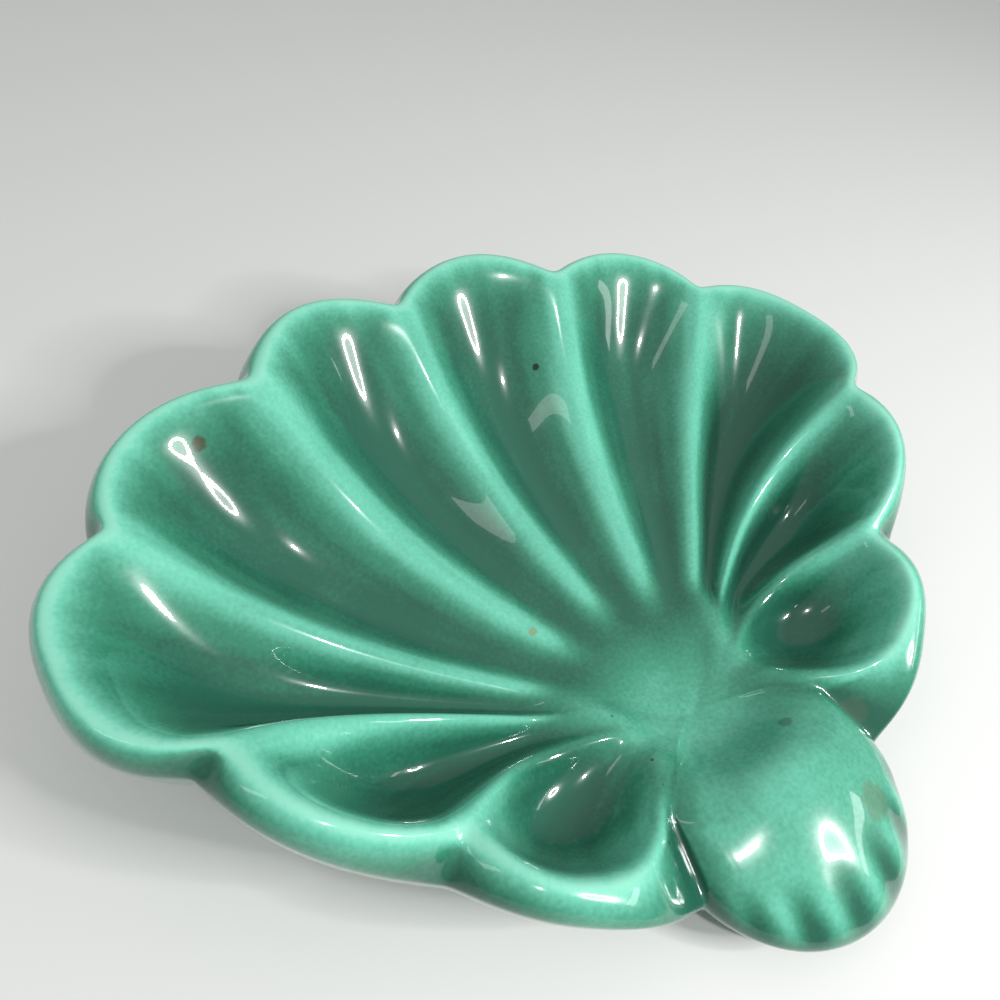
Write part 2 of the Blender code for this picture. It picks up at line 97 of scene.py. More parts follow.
# Powers and softnesses of the curves
SWELL_FALL = 4.0
FLUTE_FALL = 8.0
CREASE_FALL = 1.2
NOTCH_SOFTNESS = 0.10
RIDGE_SOFTNESS = 0.14
RIDGE_WIDENING = 0.75
TOE_POWER = 5.0
EAR_LEAN = 0.30
POCKET_SHAPE = (0.93, 1.30)
FLOW_PACES = (1.3, 2.9, 4.6, 6.7, 9.1)
FLOW_BEND = 1.7
FLOW_WAVE = 2.0
FLOW_SHIFT = 2.4
FLOW_GAIN = 2.2
FLOW_DELAY = 0.5
NECK_START = 0.5
NECK_END = 0.75
MIDDLE_SHARE = 0.33
QUARTER = 0.5523
UNDER_SHARE = 0.35
FOOT_WAVES = 3
RIB_START = 0.40
RIB_POWER = 1.5
EAR_RISE_POWER = 3.0
KNOB_ARC_POWER = 1.6
DOME_POWER = 1.3
DOME_FLATTENING = (0.32, 0.15)
CREASE_SOFTNESS = 0.20
TOE_AT_KNOB = 0.25
DENT_WIDTH = 0.13
DENT_AIM = 0.5

# Where a smooth step begins, and how far it goes
FACING_STEP = (0.15, 0.7)
GROOVE_STEP = (0.35, 0.4)
EAR_TONE_STEP = (0.45, 0.3)
LOW_STEP = (0.35, 0.6)

# Share of the ear's slope that its pocket replaces, and how sharply the pocket and its glaze end
POCKET_BLEND = 0.85
POCKET_FALL = 4
POOL_REACH = 0.94
POOL_FALL = 7

# Glaze: tones, where 1 is thin, shades, where 1 is deep, and how far they reach; some of these shades are
# painted shade and the crest's tone a painted highlight
RIDGE_TONES = (1.0, 1.0, 1.0, 1.1, 1.25)
# Darker glaze along the creases beside the knob: pooled glaze and painted shade
CREASE_POOL_AND_SHADE_TONE = 0.35
KNOB_TONE = 0.5
SHOULDER_TONE = 0.8
EAR_TONE = 0.85
HUB_TONE = 0.74
DOME_TONE = 0.86
DOME_TONE_POWER = 0.5
DOME_TONE_PACE = 2.5
RIM_TONE_REACH = 1.3
RIM_TONE_POWER = 1.5
TONE_GAIN = 1.1
TONE_POWER = 1.7
TONE_WIDTH = 1.3
HUB_TONE_REACH = 1.35
# Paler glaze along the rim's crest: the thinnest glaze, lightened further into a painted highlight
CREST_PALE_AND_HIGHLIGHT = 0.4
CREST_PALE_AND_HIGHLIGHT_REACH = 0.0016
CREST_PALE_AND_HIGHLIGHT_TURN = 0.28
# Darker in the crease grooves: pooled glaze and painted shade
GROOVE_POOL_AND_PAINTED_SHADE = 0.5
FLOW_SHADE = 0.07
FLOW_SHARE_ON_KNOB = 0.35
KNOB_SHADE = 0.20
RIB_SHADE = 0.5
# Painted shade on the lower part of the knob's outer face
LOW_PAINTED_SHADE = 0.55
WALL_SHADE = 0.46
# Painted shade in the dent below each notch: its strength, its softness across the notch and how it grows
# down the wall
NOTCH_PAINTED_SHADE = 0.55
NOTCH_PAINTED_SHADE_SOFTNESS = 0.3
NOTCH_PAINTED_SHADE_POWER = 0.5
NOTCH_CREST_SHARE = 0.75
# Painted shade on the outer wall where the ears meet the knob
CREASE_PAINTED_SHADE = 0.4
UNDER_SHADE = 0.55

# Colours of the glaze after the crest's, each with the two depths between which it takes over
GLAZE_TONES = (("thin", -0.45, -0.02), ("even", -0.25, 0.62), ("deep", 0.45, 1.05))

# Strength and distance of each finish's bump, and how far clouds and specks change its tone
GLAZE_BUMP = (0.10, 0.0004)
CLAY_BUMP = (0.5, 0.0001)
POOL_BUMP = (0.2, 0.0004)
GLAZE_CLOUDS = 0.55
GLAZE_ROUGHNESS = 0.20
GLAZE_HAZE = 0.12
CLAY_CLOUDS = 1.6
CLAY_DARKNESS = 0.72
CLAY_SPECKS = 0.7
POOL_CLOUDS = 1.8
POOL_SPECKS = 0.6
FINE_CLOUDS = 0.7
FINE_CLOUD_SCALE = 22.0
CLOUD_MIDDLE = 0.85

# How far a mark's edge wobbles, and the shares of its radius at which it ends and is whole
MARK_WOBBLE = 0.9
MARK_EDGE = (1.15, 0.75)

# Marks from the kiln: centre, radius, strength and stain
MARKS = (
    ((0.0258, 0.0473, 0.0193), 0.0008, 0.95, (0.008, 0.010, 0.008)),
    ((-0.0517, 0.0534, 0.0284), 0.0014, 0.85, (0.045, 0.050, 0.018)),
    ((-0.0144, -0.0037, 0.0086), 0.0009, 0.60, (0.220, 0.210, 0.080)),
    ((0.0098, -0.0627, 0.0161), 0.0032, 0.38, (0.120, 0.110, 0.050)),
    ((0.0231, -0.0507, 0.0130), 0.0026, 0.25, (0.100, 0.110, 0.070)),
    ((0.0081, -0.0448, 0.0158), 0.0012, 0.50, (0.020, 0.085, 0.055)),
    ((-0.0566, 0.0092, 0.0087), 0.0006, 0.80, (0.550, 0.620, 0.560)),
    ((-0.0238, -0.0470, 0.0154), 0.00035, 0.80, (0.020, 0.050, 0.035)),
    ((-0.0155, -0.0358, 0.0135), 0.00035, 0.80, (0.020, 0.050, 0.035)),
    ((-0.0177, -0.0400, 0.0149), 0.0003, 0.80, (0.020, 0.050, 0.035)),
    ((-0.0146, -0.0256, 0.0112), 0.0003, 0.70, (0.020, 0.050, 0.035)),
)

# Grid: places across a lobe and a rib, out along the bowl, down the wall and under it
LOBE_COLUMNS = 40
RIB_COLUMNS = 14
COLUMN_DRAW = 0.08
BOWL_ROWS = 70
ROW_POWER = 1.5
WALL_ROWS = 18
UNDER_ROWS = 9
INNER_STEP = 2
CLAY_STEP = 2
FOOT_TURNS = (0, 30, 60, 90)
POOL_TURNS = 9

# Ring of key lamps, and the other lamps: name, direction, reach, size, power and shape
RING_LAMPS = 20
RING_DIRECTION = (0.41, -0.71, 0.57)
RING_REACH = 0.60
RING_LAMP_SIZE = (0.022, 0.022)
RING_POWER = 3.0
LAMPS = (
    ("low strip", (0.62, -0.68, 0.39), 0.70, (0.30, 0.06), 0.30, "RECTANGLE"),
    ("side strip", (-0.57, 0.20, 0.75), 0.70, (0.08, 0.26), 0.20, "RECTANGLE"),
    ("spot lamp", (-0.15, -0.45, 0.87), 0.60, (0.04, 0.04), 1.2, "DISK"),
)

# Floor and camera
FLOOR_REACH = 1.6
FLOOR_ROUGHNESS = 0.6
SENSOR_WIDTH = 36.0
CLIP_START = 0.005


def metres(name, description, default):
    """Length that a user can change."""
    return bpy.props.FloatProperty(name=name, description=description, default=default, unit="LENGTH")


def number(name, description, default):
    """Plain number, or angle in degrees, that a user can change."""
    return bpy.props.FloatProperty(name=name, description=description, default=default)


def tint(name, description, default):
    """Colour that a user can change."""
    return bpy.props.FloatVectorProperty(
        name=name, description=description, default=default, size=3, subtype="COLOR", min=0, max=1)


class DishBowl(bpy.types.PropertyGroup):
    """Sizes of the fan of ridges, the flutes and the rim."""

    focus_height: metres("Focus height", "Height of the hollow where the ridges meet", 0.0084)
    fan_length: metres("Fan length", "Focus to the middle notch of the rim", 0.0992)
    ridge_bow: metres("Ridge bow", "How far the outer ridges bow away from the knob", 0.0168)
    toe_reach: metres("Toe reach", "Distance from the focus at which the ridges sink into the hollow", 0.0240)
    rim_height: metres("Rim height", "Height of the rim's crest at the middle notch", 0.0325)
    lobe_swell: metres("Lobe swell", "How far the rim swells out between notches", 0.0104)
    lobe_rise: metres("Lobe rise", "How far the rim rises between notches", 0.0024)
    rim_round: metres("Rim round", "Radius that rounds the rim over each ridge", 0.0042)
    flute_floor: metres("Flute floor", "Height of the flutes' floor", 0.0056)
    flute_round: metres("Flute round", "Radius that rounds the rim over each flute", 0.0060)
    floor_reach: metres("Floor reach", "Distance over which the hollow falls to the flutes' floor", 0.0340)
    hub_reach: metres("Hub reach", "Radius of the smooth hollow round the focus", 0.0120)
    hub_slope: number("Hub slope", "Rise of the hollow towards the knob, as a slope", 0.19)
    hub_curve: metres("Hub curve", "Radius to which the hollow is dished", 0.0580)
    even_width: metres("Even width", "Width over which heights are evened out at the focus", 0.0042)
    even_reach: metres("Even reach", "Distance from the focus over which that width shrinks", 0.0210)
    pocket_reach: metres("Pocket reach", "Distance from the focus to the middle of each ear's pocket", 0.0300)
    pocket_radius: metres("Pocket radius", "Radius of the oval hollow in each ear", 0.0125)
    pocket_floor: metres("Pocket floor", "Height of that hollow's lowest point", 0.0066)
    pocket_depth: metres("Pocket depth", "Rise of that hollow at its radius", 0.0052)
    shoulder_reach: metres(
        "Shoulder reach", "Distance from the focus to the roll round each ear's pocket", 0.0132)
    shoulder_width: metres("Shoulder width", "Half width of that roll", 0.0045)
    shoulder_height: metres("Shoulder height", "Height of that roll over the flute's floor", 0.0030)


class DishKnob(bpy.types.PropertyGroup):
    """Sizes of the knob, its ribs and the creases beside it."""

    crease_reach: metres("Crease reach", "Focus to the rim's lowest point beside the knob", 0.0231)
    crease_angle: number("Crease angle", "Turn of the crease from the middle ridge, in degrees", 121.6)
    crease_height: metres("Crease height", "Height of the rim in the crease", 0.0130)
    crease_end: metres("Crease end", "Height at which the crease meets the widest line", 0.0086)
    crease_bow: metres("Crease bow", "How far the crease bows", 0.0020)
    dent: metres("Dent", "Depth of the dent in the outer wall below each notch", 0.0014)
    groove_depth: metres("Groove depth", "Depth of the narrow groove along the crease", 0.0011)
    groove_width: metres("Groove width", "Half width of that groove", 0.0028)
    top_reach: metres("Top reach", "Focus to the knob's top", 0.0200)
    top_height: metres("Top height", "Height of the knob's top", 0.0199)
    radius: metres("Radius", "Radius of the knob's outline", 0.0234)
    centre_reach: metres("Centre reach", "Focus to the centre of the knob's outline", 0.0198)
    sweep: number("Sweep", "Turn of the outline to either side, in degrees", 77.2)
    edge_height: metres("Edge height", "Height of the knob's widest line", 0.0082)
    rib_height: metres("Rib height", "Height of the knob's ribs", 0.00024)
    rib_count: bpy.props.IntProperty(name="Ribs", description="Number of ribs on the knob", default=7)


class DishWall(bpy.types.PropertyGroup):
    """Sizes of the outer wall, the foot and the layers."""

    edge_height: metres("Edge height", "Height of the wall's widest line", 0.0265)
    overhang: metres("Overhang", "How far the widest line stands out past the crest", 0.0052)
    smoothing: metres("Smoothing", "How much less the widest line swells than the crest", 0.0025)
    foot_inset: metres("Foot inset", "How far the foot stands in from the widest line", 0.0173)
    edge_drop: metres("Edge drop", "How far the wall goes straight down from its widest line", 0.0054)
    foot_lift: metres("Foot lift", "Height of the bare clay under the glaze", 0.0020)
    foot_width: metres("Foot width", "Width of the foot ring", 0.0055)
    foot_round: metres("Foot round", "Radius of the foot ring's edges", 0.0007)
    recess: metres("Recess", "Depth of the underside inside the foot ring", 0.0016)
    glaze: metres("Glaze", "Thickness of the glaze", 0.0006)
    gap: metres("Gap", "Clearance between glaze and clay", 0.0003)
    pool: metres("Pool", "Thickness of the glaze inside the foot ring", 0.0005)
    pool_inset: metres("Pool inset", "Clearance between that glaze and the ring", 0.0008)
    glaze_line: number("Glaze line", "How far round the underside the glaze runs, as a share", 0.90)


class DishColours(bpy.types.PropertyGroup):
    """Colours of the glaze and the clay."""

    # Crest colour: the thinnest glaze on the rim's crest, lightened into a painted highlight
    crest: tint("Crest", "Glaze where it is thinnest, along the rim's crest", (0.220, 0.580, 0.440))
    thin: tint("Thin glaze", "Glaze where it breaks over ridges and rim", (0.138, 0.505, 0.365))
    even: tint("Even glaze", "Glaze on open slopes", (0.035, 0.210, 0.130))
    deep: tint("Deep glaze", "Glaze that pooled in the flutes", (0.014, 0.095, 0.060))
    clay: tint("Clay", "Bare fired clay", (0.640, 0.520, 0.390))
    iron: tint("Iron", "Iron specks in the clay and the underside glaze", (0.100, 0.060, 0.030))


class DishStage(bpy.types.PropertyGroup):
    """Floor, lamps and camera."""

    ring: number("Ring", "Radius of the ring of key lamps over its distance", 0.090)
    target: bpy.props.FloatVectorProperty(
        name="Target", description="Point the camera looks at", default=(-0.0075, 0.0184, 0.0210), size=3,
        subtype="TRANSLATION")
    azimuth: number("Azimuth", "Camera's turn round the dish, in degrees", -46.8)
    elevation: number("Elevation", "Camera's angle over the horizon, in degrees", 49.1)
    roll: number("Roll", "Camera's tilt, in degrees", 12.0)
    distance: metres("Distance", "Camera to target", 0.156)
    lens: number("Lens", "Focal length in millimetres", 28.66)
    horizon: tint("Horizon", "Light of the room at eye level", (0.26, 0.27, 0.27))
    zenith: tint("Zenith", "Light of the room from above", (0.62, 0.64, 0.63))
    floor: tint("Floor", "Colour of the floor", (0.62, 0.62, 0.61))


def from_angle(angle, reach):
    """Point in plan: the reach times the sine and cosine of an angle from the middle ridge."""
    turn = math.radians(angle)
    return np.array([reach * math.sin(turn), reach * math.cos(turn)])


def per_station(values, crease=0.0, middle=0.0, sign=1.0):
    """One value for each station, from values for the middle notch and the ones further out."""
    row = np.zeros(STATIONS)
    for step, value in enumerate(values):
        row[HALF + step] = value
        row[HALF - step] = value * (sign if step else 1.0)
    row[CREASE] = crease
    row[0] = crease * sign
    row[KNOB] = middle
    return row


def per_lobe(shares, size=1.0):
    """One value for each lobe, the same on both sides, and none on the knob."""
    row = np.zeros(STATIONS)
    for step, share in enumerate(shares):
        row[HALF + step] = share * size
        row[HALF - 1 - step] = share * size
    return row


def closed_spline(values):
    """Closed cubic spline through one value at each station, with slopes that make it twice smooth."""
    near = np.eye(len(values))
    matrix = 4 * near + np.roll(near, 1, 1) + np.roll(near, -1, 1)
    slopes = np.linalg.solve(matrix, 3 * (np.roll(values, -1, 0) - np.roll(values, 1, 0)))

    def curve(station):
        start = np.floor(station).astype(int) % len(values)
        stop = (start + 1) % len(values)
        part = station - np.floor(station)
        part = part[:, None] if values.ndim > 1 else part
        rise = part * part * (3 - 2 * part)
        between = (1 - rise) * values[start] + rise * values[stop]
        return between + part * (1 - part) ** 2 * slopes[start] - part * part * (1 - part) * slopes[stop]

    return curve


def soften(distance, radius):
    """Distance that starts level and runs straight after about one radius: a hyperbola less its radius."""
    return np.sqrt(distance**2 + radius**2) - radius


def smooth_step(value, start=0.0, span=1.0):
    """0 below the start, 1 a span further on, and 3v^2 - 2v^3 between."""
    part = np.clip((value - start) / span, 0, 1)
    return part * part * (3 - 2 * part)


def fade(distance, reach, power=2):
    """1 at no distance, falling off as e to the minus (distance / reach) to a power."""
    return np.exp(-((distance / reach) ** power))


def scallop(across, power, softness):
    """1 less a power of 1 less the depth, which is the softened distance from the notch.

    It is 0 on the notches (across -1 and 1) and 1 in mid lobe, and softness rounds the notches.
    """
    depth = soften(1 - np.abs(across), softness) / soften(1.0, softness)
    return 1 - (1 - depth) ** power


def cubic(way, first, second, third, fourth):
    """Cubic curve of four control points."""
    left = 1 - way
    return left**3 * first + 3 * left**2 * way * second + 3 * left * way**2 * third + way**3 * fourth


def unit(vectors):
    """Vectors scaled to length 1."""
    return vectors / np.linalg.norm(vectors, axis=-1, keepdims=True)


def lobe_and_across(station):
    """Number of the lobe, and the place across it from -1 to 1."""
    lobe = np.floor(station).astype(int)
    return lobe, 2 * (station - lobe) - 1


def knob_side(station):
    """Place across the knob: -1 at one crease, 0 on the middle line, 1 at the other crease."""
    return np.clip(station - KNOB, -1, 1)


def dish_middle(bowl):
    """Point in plan about which the wall and the foot run, on the middle ridge."""
    return np.array([0.0, bowl.fan_length * MIDDLE_SHARE])


def columns(knob, step=1):
    """Stations of the columns round the dish, drawn towards the notches by a sine, and even on the knob."""
    share = np.arange(0, LOBE_COLUMNS, step) / LOBE_COLUMNS
    drawn = share - COLUMN_DRAW * np.sin(2 * math.pi * share)
    lobes = (np.arange(LOBES)[:, None] + drawn).ravel()
    count = knob.rib_count * RIB_COLUMNS // step
    return np.concatenate([lobes, LOBES + 2 * np.arange(count) / count])


def notch_points(bowl, knob):
    """Plan and height of the crest at each station, with the focus at the plan's origin."""
    points = np.zeros((STATIONS, 3))
    for step, angle in enumerate(NOTCH_ANGLES):
        place = from_angle(angle, bowl.fan_length * NOTCH_REACHES[step])
        height = bowl.rim_height * NOTCH_HEIGHTS[step]
        points[HALF + step] = (place[0], place[1], height)
        points[HALF - step] = (-place[0], place[1], height)
    crease = from_angle(knob.crease_angle, knob.crease_reach)
    points[CREASE] = (crease[0], crease[1], knob.crease_height)
    points[0] = (-crease[0], crease[1], knob.crease_height)
    points[KNOB] = (0.0, -knob.top_reach, knob.top_height)
    return points


def outward(curve, station):
    """Plan direction to the left of travel along a curve, which runs clockwise round the dish."""
    step = 0.001
    along = curve(station + step)[:, :2] - curve(station - step)[:, :2]
    return unit(np.stack([-along[:, 1], along[:, 0]], 1))


def knob_dome(station):
    """1 on the knob's middle line, 0 at the creases: a cosine to a power."""
    return np.clip(np.cos(math.pi * knob_side(station) / 2), 0, 1) ** DOME_POWER


def away_from_crease(station):
    """0 on the creases and 1 beyond: one less a Gaussian of the stations to the nearer crease."""
    turns = np.minimum(np.abs(station - CREASE), np.minimum(station, STATIONS - station))
    return 1 - fade(turns, CREASE_SOFTNESS)


def lobe_swells(bowl, knob, station, sizes):
    """Swell of each lobe as a vector square to the notches' loop, and how far it rises, both as scallops."""
    lobe, across = lobe_and_across(station)
    powers = np.maximum(per_lobe(LOBE_POWERS)[lobe], 2.0)
    rise_powers = np.where(lobe % (LOBES - 1) == 0, EAR_RISE_POWER, 2.0)
    rise = per_lobe(LOBE_RISES, bowl.lobe_rise)[lobe] * scallop(across, rise_powers, NOTCH_SOFTNESS)
    swell = outward(closed_spline(notch_points(bowl, knob)), station)
    return swell * (sizes[lobe] * scallop(across, powers, NOTCH_SOFTNESS))[:, None], rise


def crest_line(bowl, knob, station):
    """Crest of the rim without its swells, and the swell of each lobe as a vector.

    The crest is a smooth loop through the notches, raised by a scallop in each lobe. On the knob it is an
    arc from one crease over the top to the other crease, and nothing swells.
    """
    swell, rise = lobe_swells(bowl, knob, station, per_lobe(LOBE_SWELLS, bowl.lobe_swell))
    crest = closed_spline(notch_points(bowl, knob))(station)
    crest[:, 2] += rise

    side = knob_side(station)
    start = from_angle(knob.crease_angle, knob.crease_reach)
    inner = 1 - np.abs(side)
    arc_x = -np.sign(side) * start[0] * (1 - inner**KNOB_ARC_POWER)
    arc_y = start[1] + (-knob.top_reach - start[1]) * (1 - (1 - inner) ** 2)
    arc_z = knob.crease_height + (knob.top_height - knob.crease_height) * knob_dome(station)
    on_knob = (station >= CREASE)[:, None]
    return np.where(on_knob, np.stack([arc_x, arc_y, arc_z], 1), crest), swell


def bowl_plan(bowl, knob, station, way, crest, swell):
    """Plan of the bowl: a cubic from the focus to the crest, and the swell times the way's fourth power.

    The cubic leaves the focus at its ridge's own angle, and its second control point bows it from the knob.
    """
    starts = np.zeros((STATIONS, 2))
    for step, angle in enumerate(RIDGE_STARTS):
        starts[HALF + step] = from_angle(angle, 1.0)
        starts[HALF - step] = from_angle(-angle, 1.0)
    starts[KNOB] = from_angle(180.0, 1.0)
    bows = [share * bowl.ridge_bow for share in RIDGE_BOWS]
    bows = closed_spline(per_station(bows, knob.crease_bow, 0.0, -1.0))
    out = crest[:, :2]
    reach = np.linalg.norm(out, axis=1, keepdims=True)
    left = unit(np.stack([-out[:, 1], out[:, 0]], 1))
    first = unit(closed_spline(starts)(station)) * reach / 3
    second = out * 2 / 3 + left * bows(station)[:, None]
    plan = (3 * way * (1 - way) ** 2)[..., None] * first[:, None]
    plan = plan + (3 * way**2 * (1 - way))[..., None] * second[:, None] + (way**3)[..., None] * out[:, None]
    return plan + (way**SWELL_FALL)[..., None] * swell[:, None]


def ear_pockets(bowl, plan, height):
    """Heights with both ears' pockets, and where the rolls round them and their pools of glaze lie.

    An oval bowl of the second power makes each pocket, and a bell curve round the pocket's middle makes the
    roll that closes it, on the side that faces the focus.
    """
    shoulder, pool = 0 * height, 0 * height
    for side in (-1, 1):
        centre = np.array([side * bowl.pocket_reach, 0.0])
        apart = np.linalg.norm(plan - centre, axis=-1)
        facing = (centre * (centre - plan)).sum(-1) / (apart * bowl.pocket_reach)
        bump = fade(apart - bowl.pocket_reach + bowl.shoulder_reach, bowl.shoulder_width)
        shoulder = shoulder + bump * smooth_step(facing, *FACING_STEP)
        oval = np.linalg.norm((plan - centre) * np.array(POCKET_SHAPE), axis=-1) / bowl.pocket_radius
        pit = bowl.pocket_floor + bowl.pocket_depth * oval**2
        height = height + (pit - height) * POCKET_BLEND * fade(oval, 1.0, POCKET_FALL)
        pool = np.maximum(pool, fade(oval, POOL_REACH, POOL_FALL))
    return height + bowl.shoulder_height * shoulder, shoulder, pool


def bowl_rows(bowl, knob, station, way, crest, swell):
    """Inside of the dish from focus to crest, and how thick its glaze pools, with painted shade along the
    creases and a painted highlight along the crest.

    Ridges and flute beds both rise to the crest by a power of the way out, softened over the rim's round,
    and a scallop across the lobe goes from one to the other. The ridges sink into the hollow at their toes,
    each ear gets its pocket, a groove follows each crease, and the neck rises to the knob's top. Near the
    focus a hollow of the second power takes over, and heights are evened out round it.
    """
    plan = bowl_plan(bowl, knob, station, way, crest, swell)
    reach = np.linalg.norm(plan, axis=-1)
    length = np.linalg.norm(crest[:, :2] + swell, axis=1)[:, None]
    inside = (1 - way) * length
    top = crest[:, 2:3]
    lobe, across = lobe_and_across(station)
    across = across[:, None]
    is_ear = ((lobe % (LOBES - 1) == 0) & (station < CREASE))[:, None]
    on_knob = (station >= CREASE)[:, None]
    across = across + EAR_LEAN * np.where(lobe == 0, -1, 1)[:, None] * (1 - across**2) * is_ear

    ridge_left = 1 - soften(inside, bowl.rim_round) / soften(length, bowl.rim_round)
    falls = closed_spline(per_station(RIDGE_FALLS, CREASE_FALL, CREASE_FALL))(station)[:, None]
    ridge = np.where(on_knob, knob.crease_height, top) - bowl.focus_height
    ridge = bowl.focus_height + ridge * ridge_left**falls
    rounding = np.maximum(per_lobe(FLUTE_ROUNDS, bowl.flute_round)[lobe], bowl.rim_round / 2)[:, None]
    flute_left = 1 - soften(inside, rounding) / soften(length, rounding)
    bed = bowl.flute_floor + (bowl.focus_height - bowl.flute_floor) * fade(reach, bowl.floor_reach, 3)
    falls = FLUTE_FALL * np.maximum(per_lobe(FLUTE_FALLS)[lobe], 1.0)[:, None]
    bed = bed + (top - bed) * flute_left**falls

    powers = np.maximum(per_lobe(FLUTE_POWERS)[lobe], 2.0)[:, None]
    flute = np.where(on_knob, 0.0, scallop(across, powers, RIDGE_SOFTNESS + RIDGE_WIDENING * (1 - way)))
    toes = per_station(TOE_REACHES, TOE_AT_KNOB, TOE_AT_KNOB) * bowl.toe_reach
    roll = (1 - flute) * (1 - fade(reach, closed_spline(toes)(station)[:, None], TOE_POWER))
    height = bed + (ridge - bed) * roll
    height, shoulder, pool = ear_pockets(bowl, plan, height)

    bend = 1 + (2 - NECK_START) * way + (NECK_END + NECK_START - 3) * way**2
    neck = (knob.top_height - knob.crease_height) * (1 - (1 - way) ** 2 * bend)
    height = height + neck * np.where(on_knob, knob_dome(station)[:, None], 0.0)

    ends = [int(np.argmin(np.abs(station - place))) for place in (0, CREASE)]
    apart = np.minimum(*[np.linalg.norm(plan - plan[end], axis=-1) for end in ends])
    groove = fade(apart, knob.groove_width) * smooth_step(way, *GROOVE_STEP)
    height = height - knob.groove_depth * groove

    hub = bowl.focus_height - bowl.hub_slope * plan[..., 1] + (plan**2).sum(-1) / (2 * bowl.hub_curve)
    height = height + (hub - height) * fade(reach, bowl.hub_reach, 4)
    width = bowl.even_width * fade(reach, bowl.even_reach)
    height = even_out(plan, height, width)

    open_rim = away_from_crease(station)[:, None]
    rim = fade(inside, RIM_TONE_REACH * bowl.rim_round, RIM_TONE_POWER) * open_rim
    # Ridge tones, darker along the creases with pooled glaze and painted shade
    tones = closed_spline(per_station(RIDGE_TONES, CREASE_POOL_AND_SHADE_TONE, KNOB_TONE))(station)[:, None]
    thin = np.minimum(np.clip(roll * TONE_GAIN, 0, 1) ** TONE_POWER * tones, 1)
    thin = np.maximum(thin, np.where(on_knob, 0.0, rim))
    thin = np.maximum(thin, SHOULDER_TONE * shoulder)
    thin = np.maximum(thin, EAR_TONE * is_ear * smooth_step(reach / bowl.pocket_reach, *EAR_TONE_STEP))
    thin = thin * (1 - pool)
    thin = thin + (HUB_TONE - thin) * fade(reach, HUB_TONE_REACH * bowl.hub_reach, 3)
    dome = knob_dome(station)[:, None] ** DOME_TONE_POWER * smooth_step(way * DOME_TONE_PACE)
    thin = thin + (DOME_TONE - thin) * np.where(on_knob, dome, 0.0)
    # Darker in the crease grooves: pooled glaze and painted shade
    deep = 1 - even_out(plan, thin, TONE_WIDTH * width) + GROOVE_POOL_AND_PAINTED_SHADE * groove
    deep = deep + FLOW_SHADE * flow_lines(station, way) * np.where(on_knob, FLOW_SHARE_ON_KNOB, 1.0)
    # Painted highlight along the crest, over the thinnest glaze there
    deep = deep - CREST_PALE_AND_HIGHLIGHT * fade(inside, CREST_PALE_AND_HIGHLIGHT_REACH) * np.where(on_knob, 0.0, open_rim)
    return np.concatenate([plan, height[..., None]], -1), deep


def flow_lines(station, way):
    """Faint streaks along the way that the glaze ran: sines across the lobes, bent by a slow sine."""
    total = 0.0
    for step, pace in enumerate(FLOW_PACES):
        bend = FLOW_BEND * np.sin(FLOW_WAVE * way * (1 + step) + step)
        total = total + np.sin(2 * math.pi * pace * station[:, None] + bend + FLOW_SHIFT * step)
    return total / math.sqrt(len(FLOW_PACES)) * smooth_step(way * FLOW_GAIN - FLOW_DELAY)


def even_out(plan, height, width):
    """Heights evened out round each ring, as heat spreads in a closed wire, over a width in plan.

    Each ring solves h - w^2 / 2 h'' = old height, with the second slope h'' taken over the columns' own
    spacing.
    """
    onward = np.linalg.norm(np.roll(plan, -1, 0) - plan, axis=-1)
    backward = np.roll(onward, 1, 0)
    share = width**2 / (onward + backward)
    onward, backward = (share / onward).T[..., None], (share / backward).T[..., None]
    here = np.eye(len(plan))
    ahead, behind = np.roll(here, 1, 1), np.roll(here, -1, 1)
    matrix = here * (1 + onward + backward) - ahead * onward - behind * backward
    return np.linalg.solve(matrix, height.T[..., None])[..., 0].T


def edge_line(bowl, knob, wall, station):
    """Widest line of the outer wall, and the loop through its notches.

    It is the notches pushed out, with smaller swells, and on the knob an arc of a circle.
    """
    points = notch_points(bowl, knob)
    middle = dish_middle(bowl)
    overhang = per_station([share * wall.overhang for share in EDGE_OVERHANGS])
    points[:, :2] += unit(points[:, :2] - middle) * overhang[:, None]
    points[:, 2] = per_station([share * wall.edge_height for share in EDGE_HEIGHTS])
    sweep = math.radians(knob.sweep)
    end_x = knob.radius * math.sin(sweep)
    end_y = -knob.centre_reach - knob.radius * math.cos(sweep)
    points[CREASE] = (end_x, end_y, knob.crease_end)
    points[0] = (-end_x, end_y, knob.crease_end)
    points[KNOB] = (0.0, -knob.centre_reach - knob.radius, knob.edge_height)
    loop = closed_spline(points)

    sizes = per_lobe(LOBE_SWELLS, bowl.lobe_swell) - per_lobe(EDGE_SMOOTHINGS, wall.smoothing)
    swell, rise = lobe_swells(bowl, knob, station, sizes)
    edge = loop(station)
    edge[:, 2] += rise
    edge[:, :2] += swell

    side = knob_side(station)
    turn = side * sweep
    round_x = -knob.radius * np.sin(turn)
    round_y = -knob.centre_reach - knob.radius * np.cos(turn)
    round_z = knob.edge_height + (knob.crease_end - knob.edge_height) * side**2
    on_knob = (station >= CREASE)[:, None]
    return np.where(on_knob, np.stack([round_x, round_y, round_z], 1), edge), loop(station)


def foot_line(bowl, wall, loop):
    """Outer edge of the foot: an egg of a few cosine waves that keeps its inset from the wall."""
    middle = dish_middle(bowl)
    spokes = loop[:, :2] - middle
    angles = np.arctan2(spokes[:, 0], spokes[:, 1])
    waves = np.cos(angles[:, None] * np.arange(FOOT_WAVES))
    reach = waves @ np.linalg.lstsq(waves, np.linalg.norm(spokes, axis=1) - wall.foot_inset, rcond=None)[0]
    foot = np.zeros((len(loop), 3))
    foot[:, 0] = middle[0] + reach * np.sin(angles)
    foot[:, 1] = middle[1] + reach * np.cos(angles)
    return foot


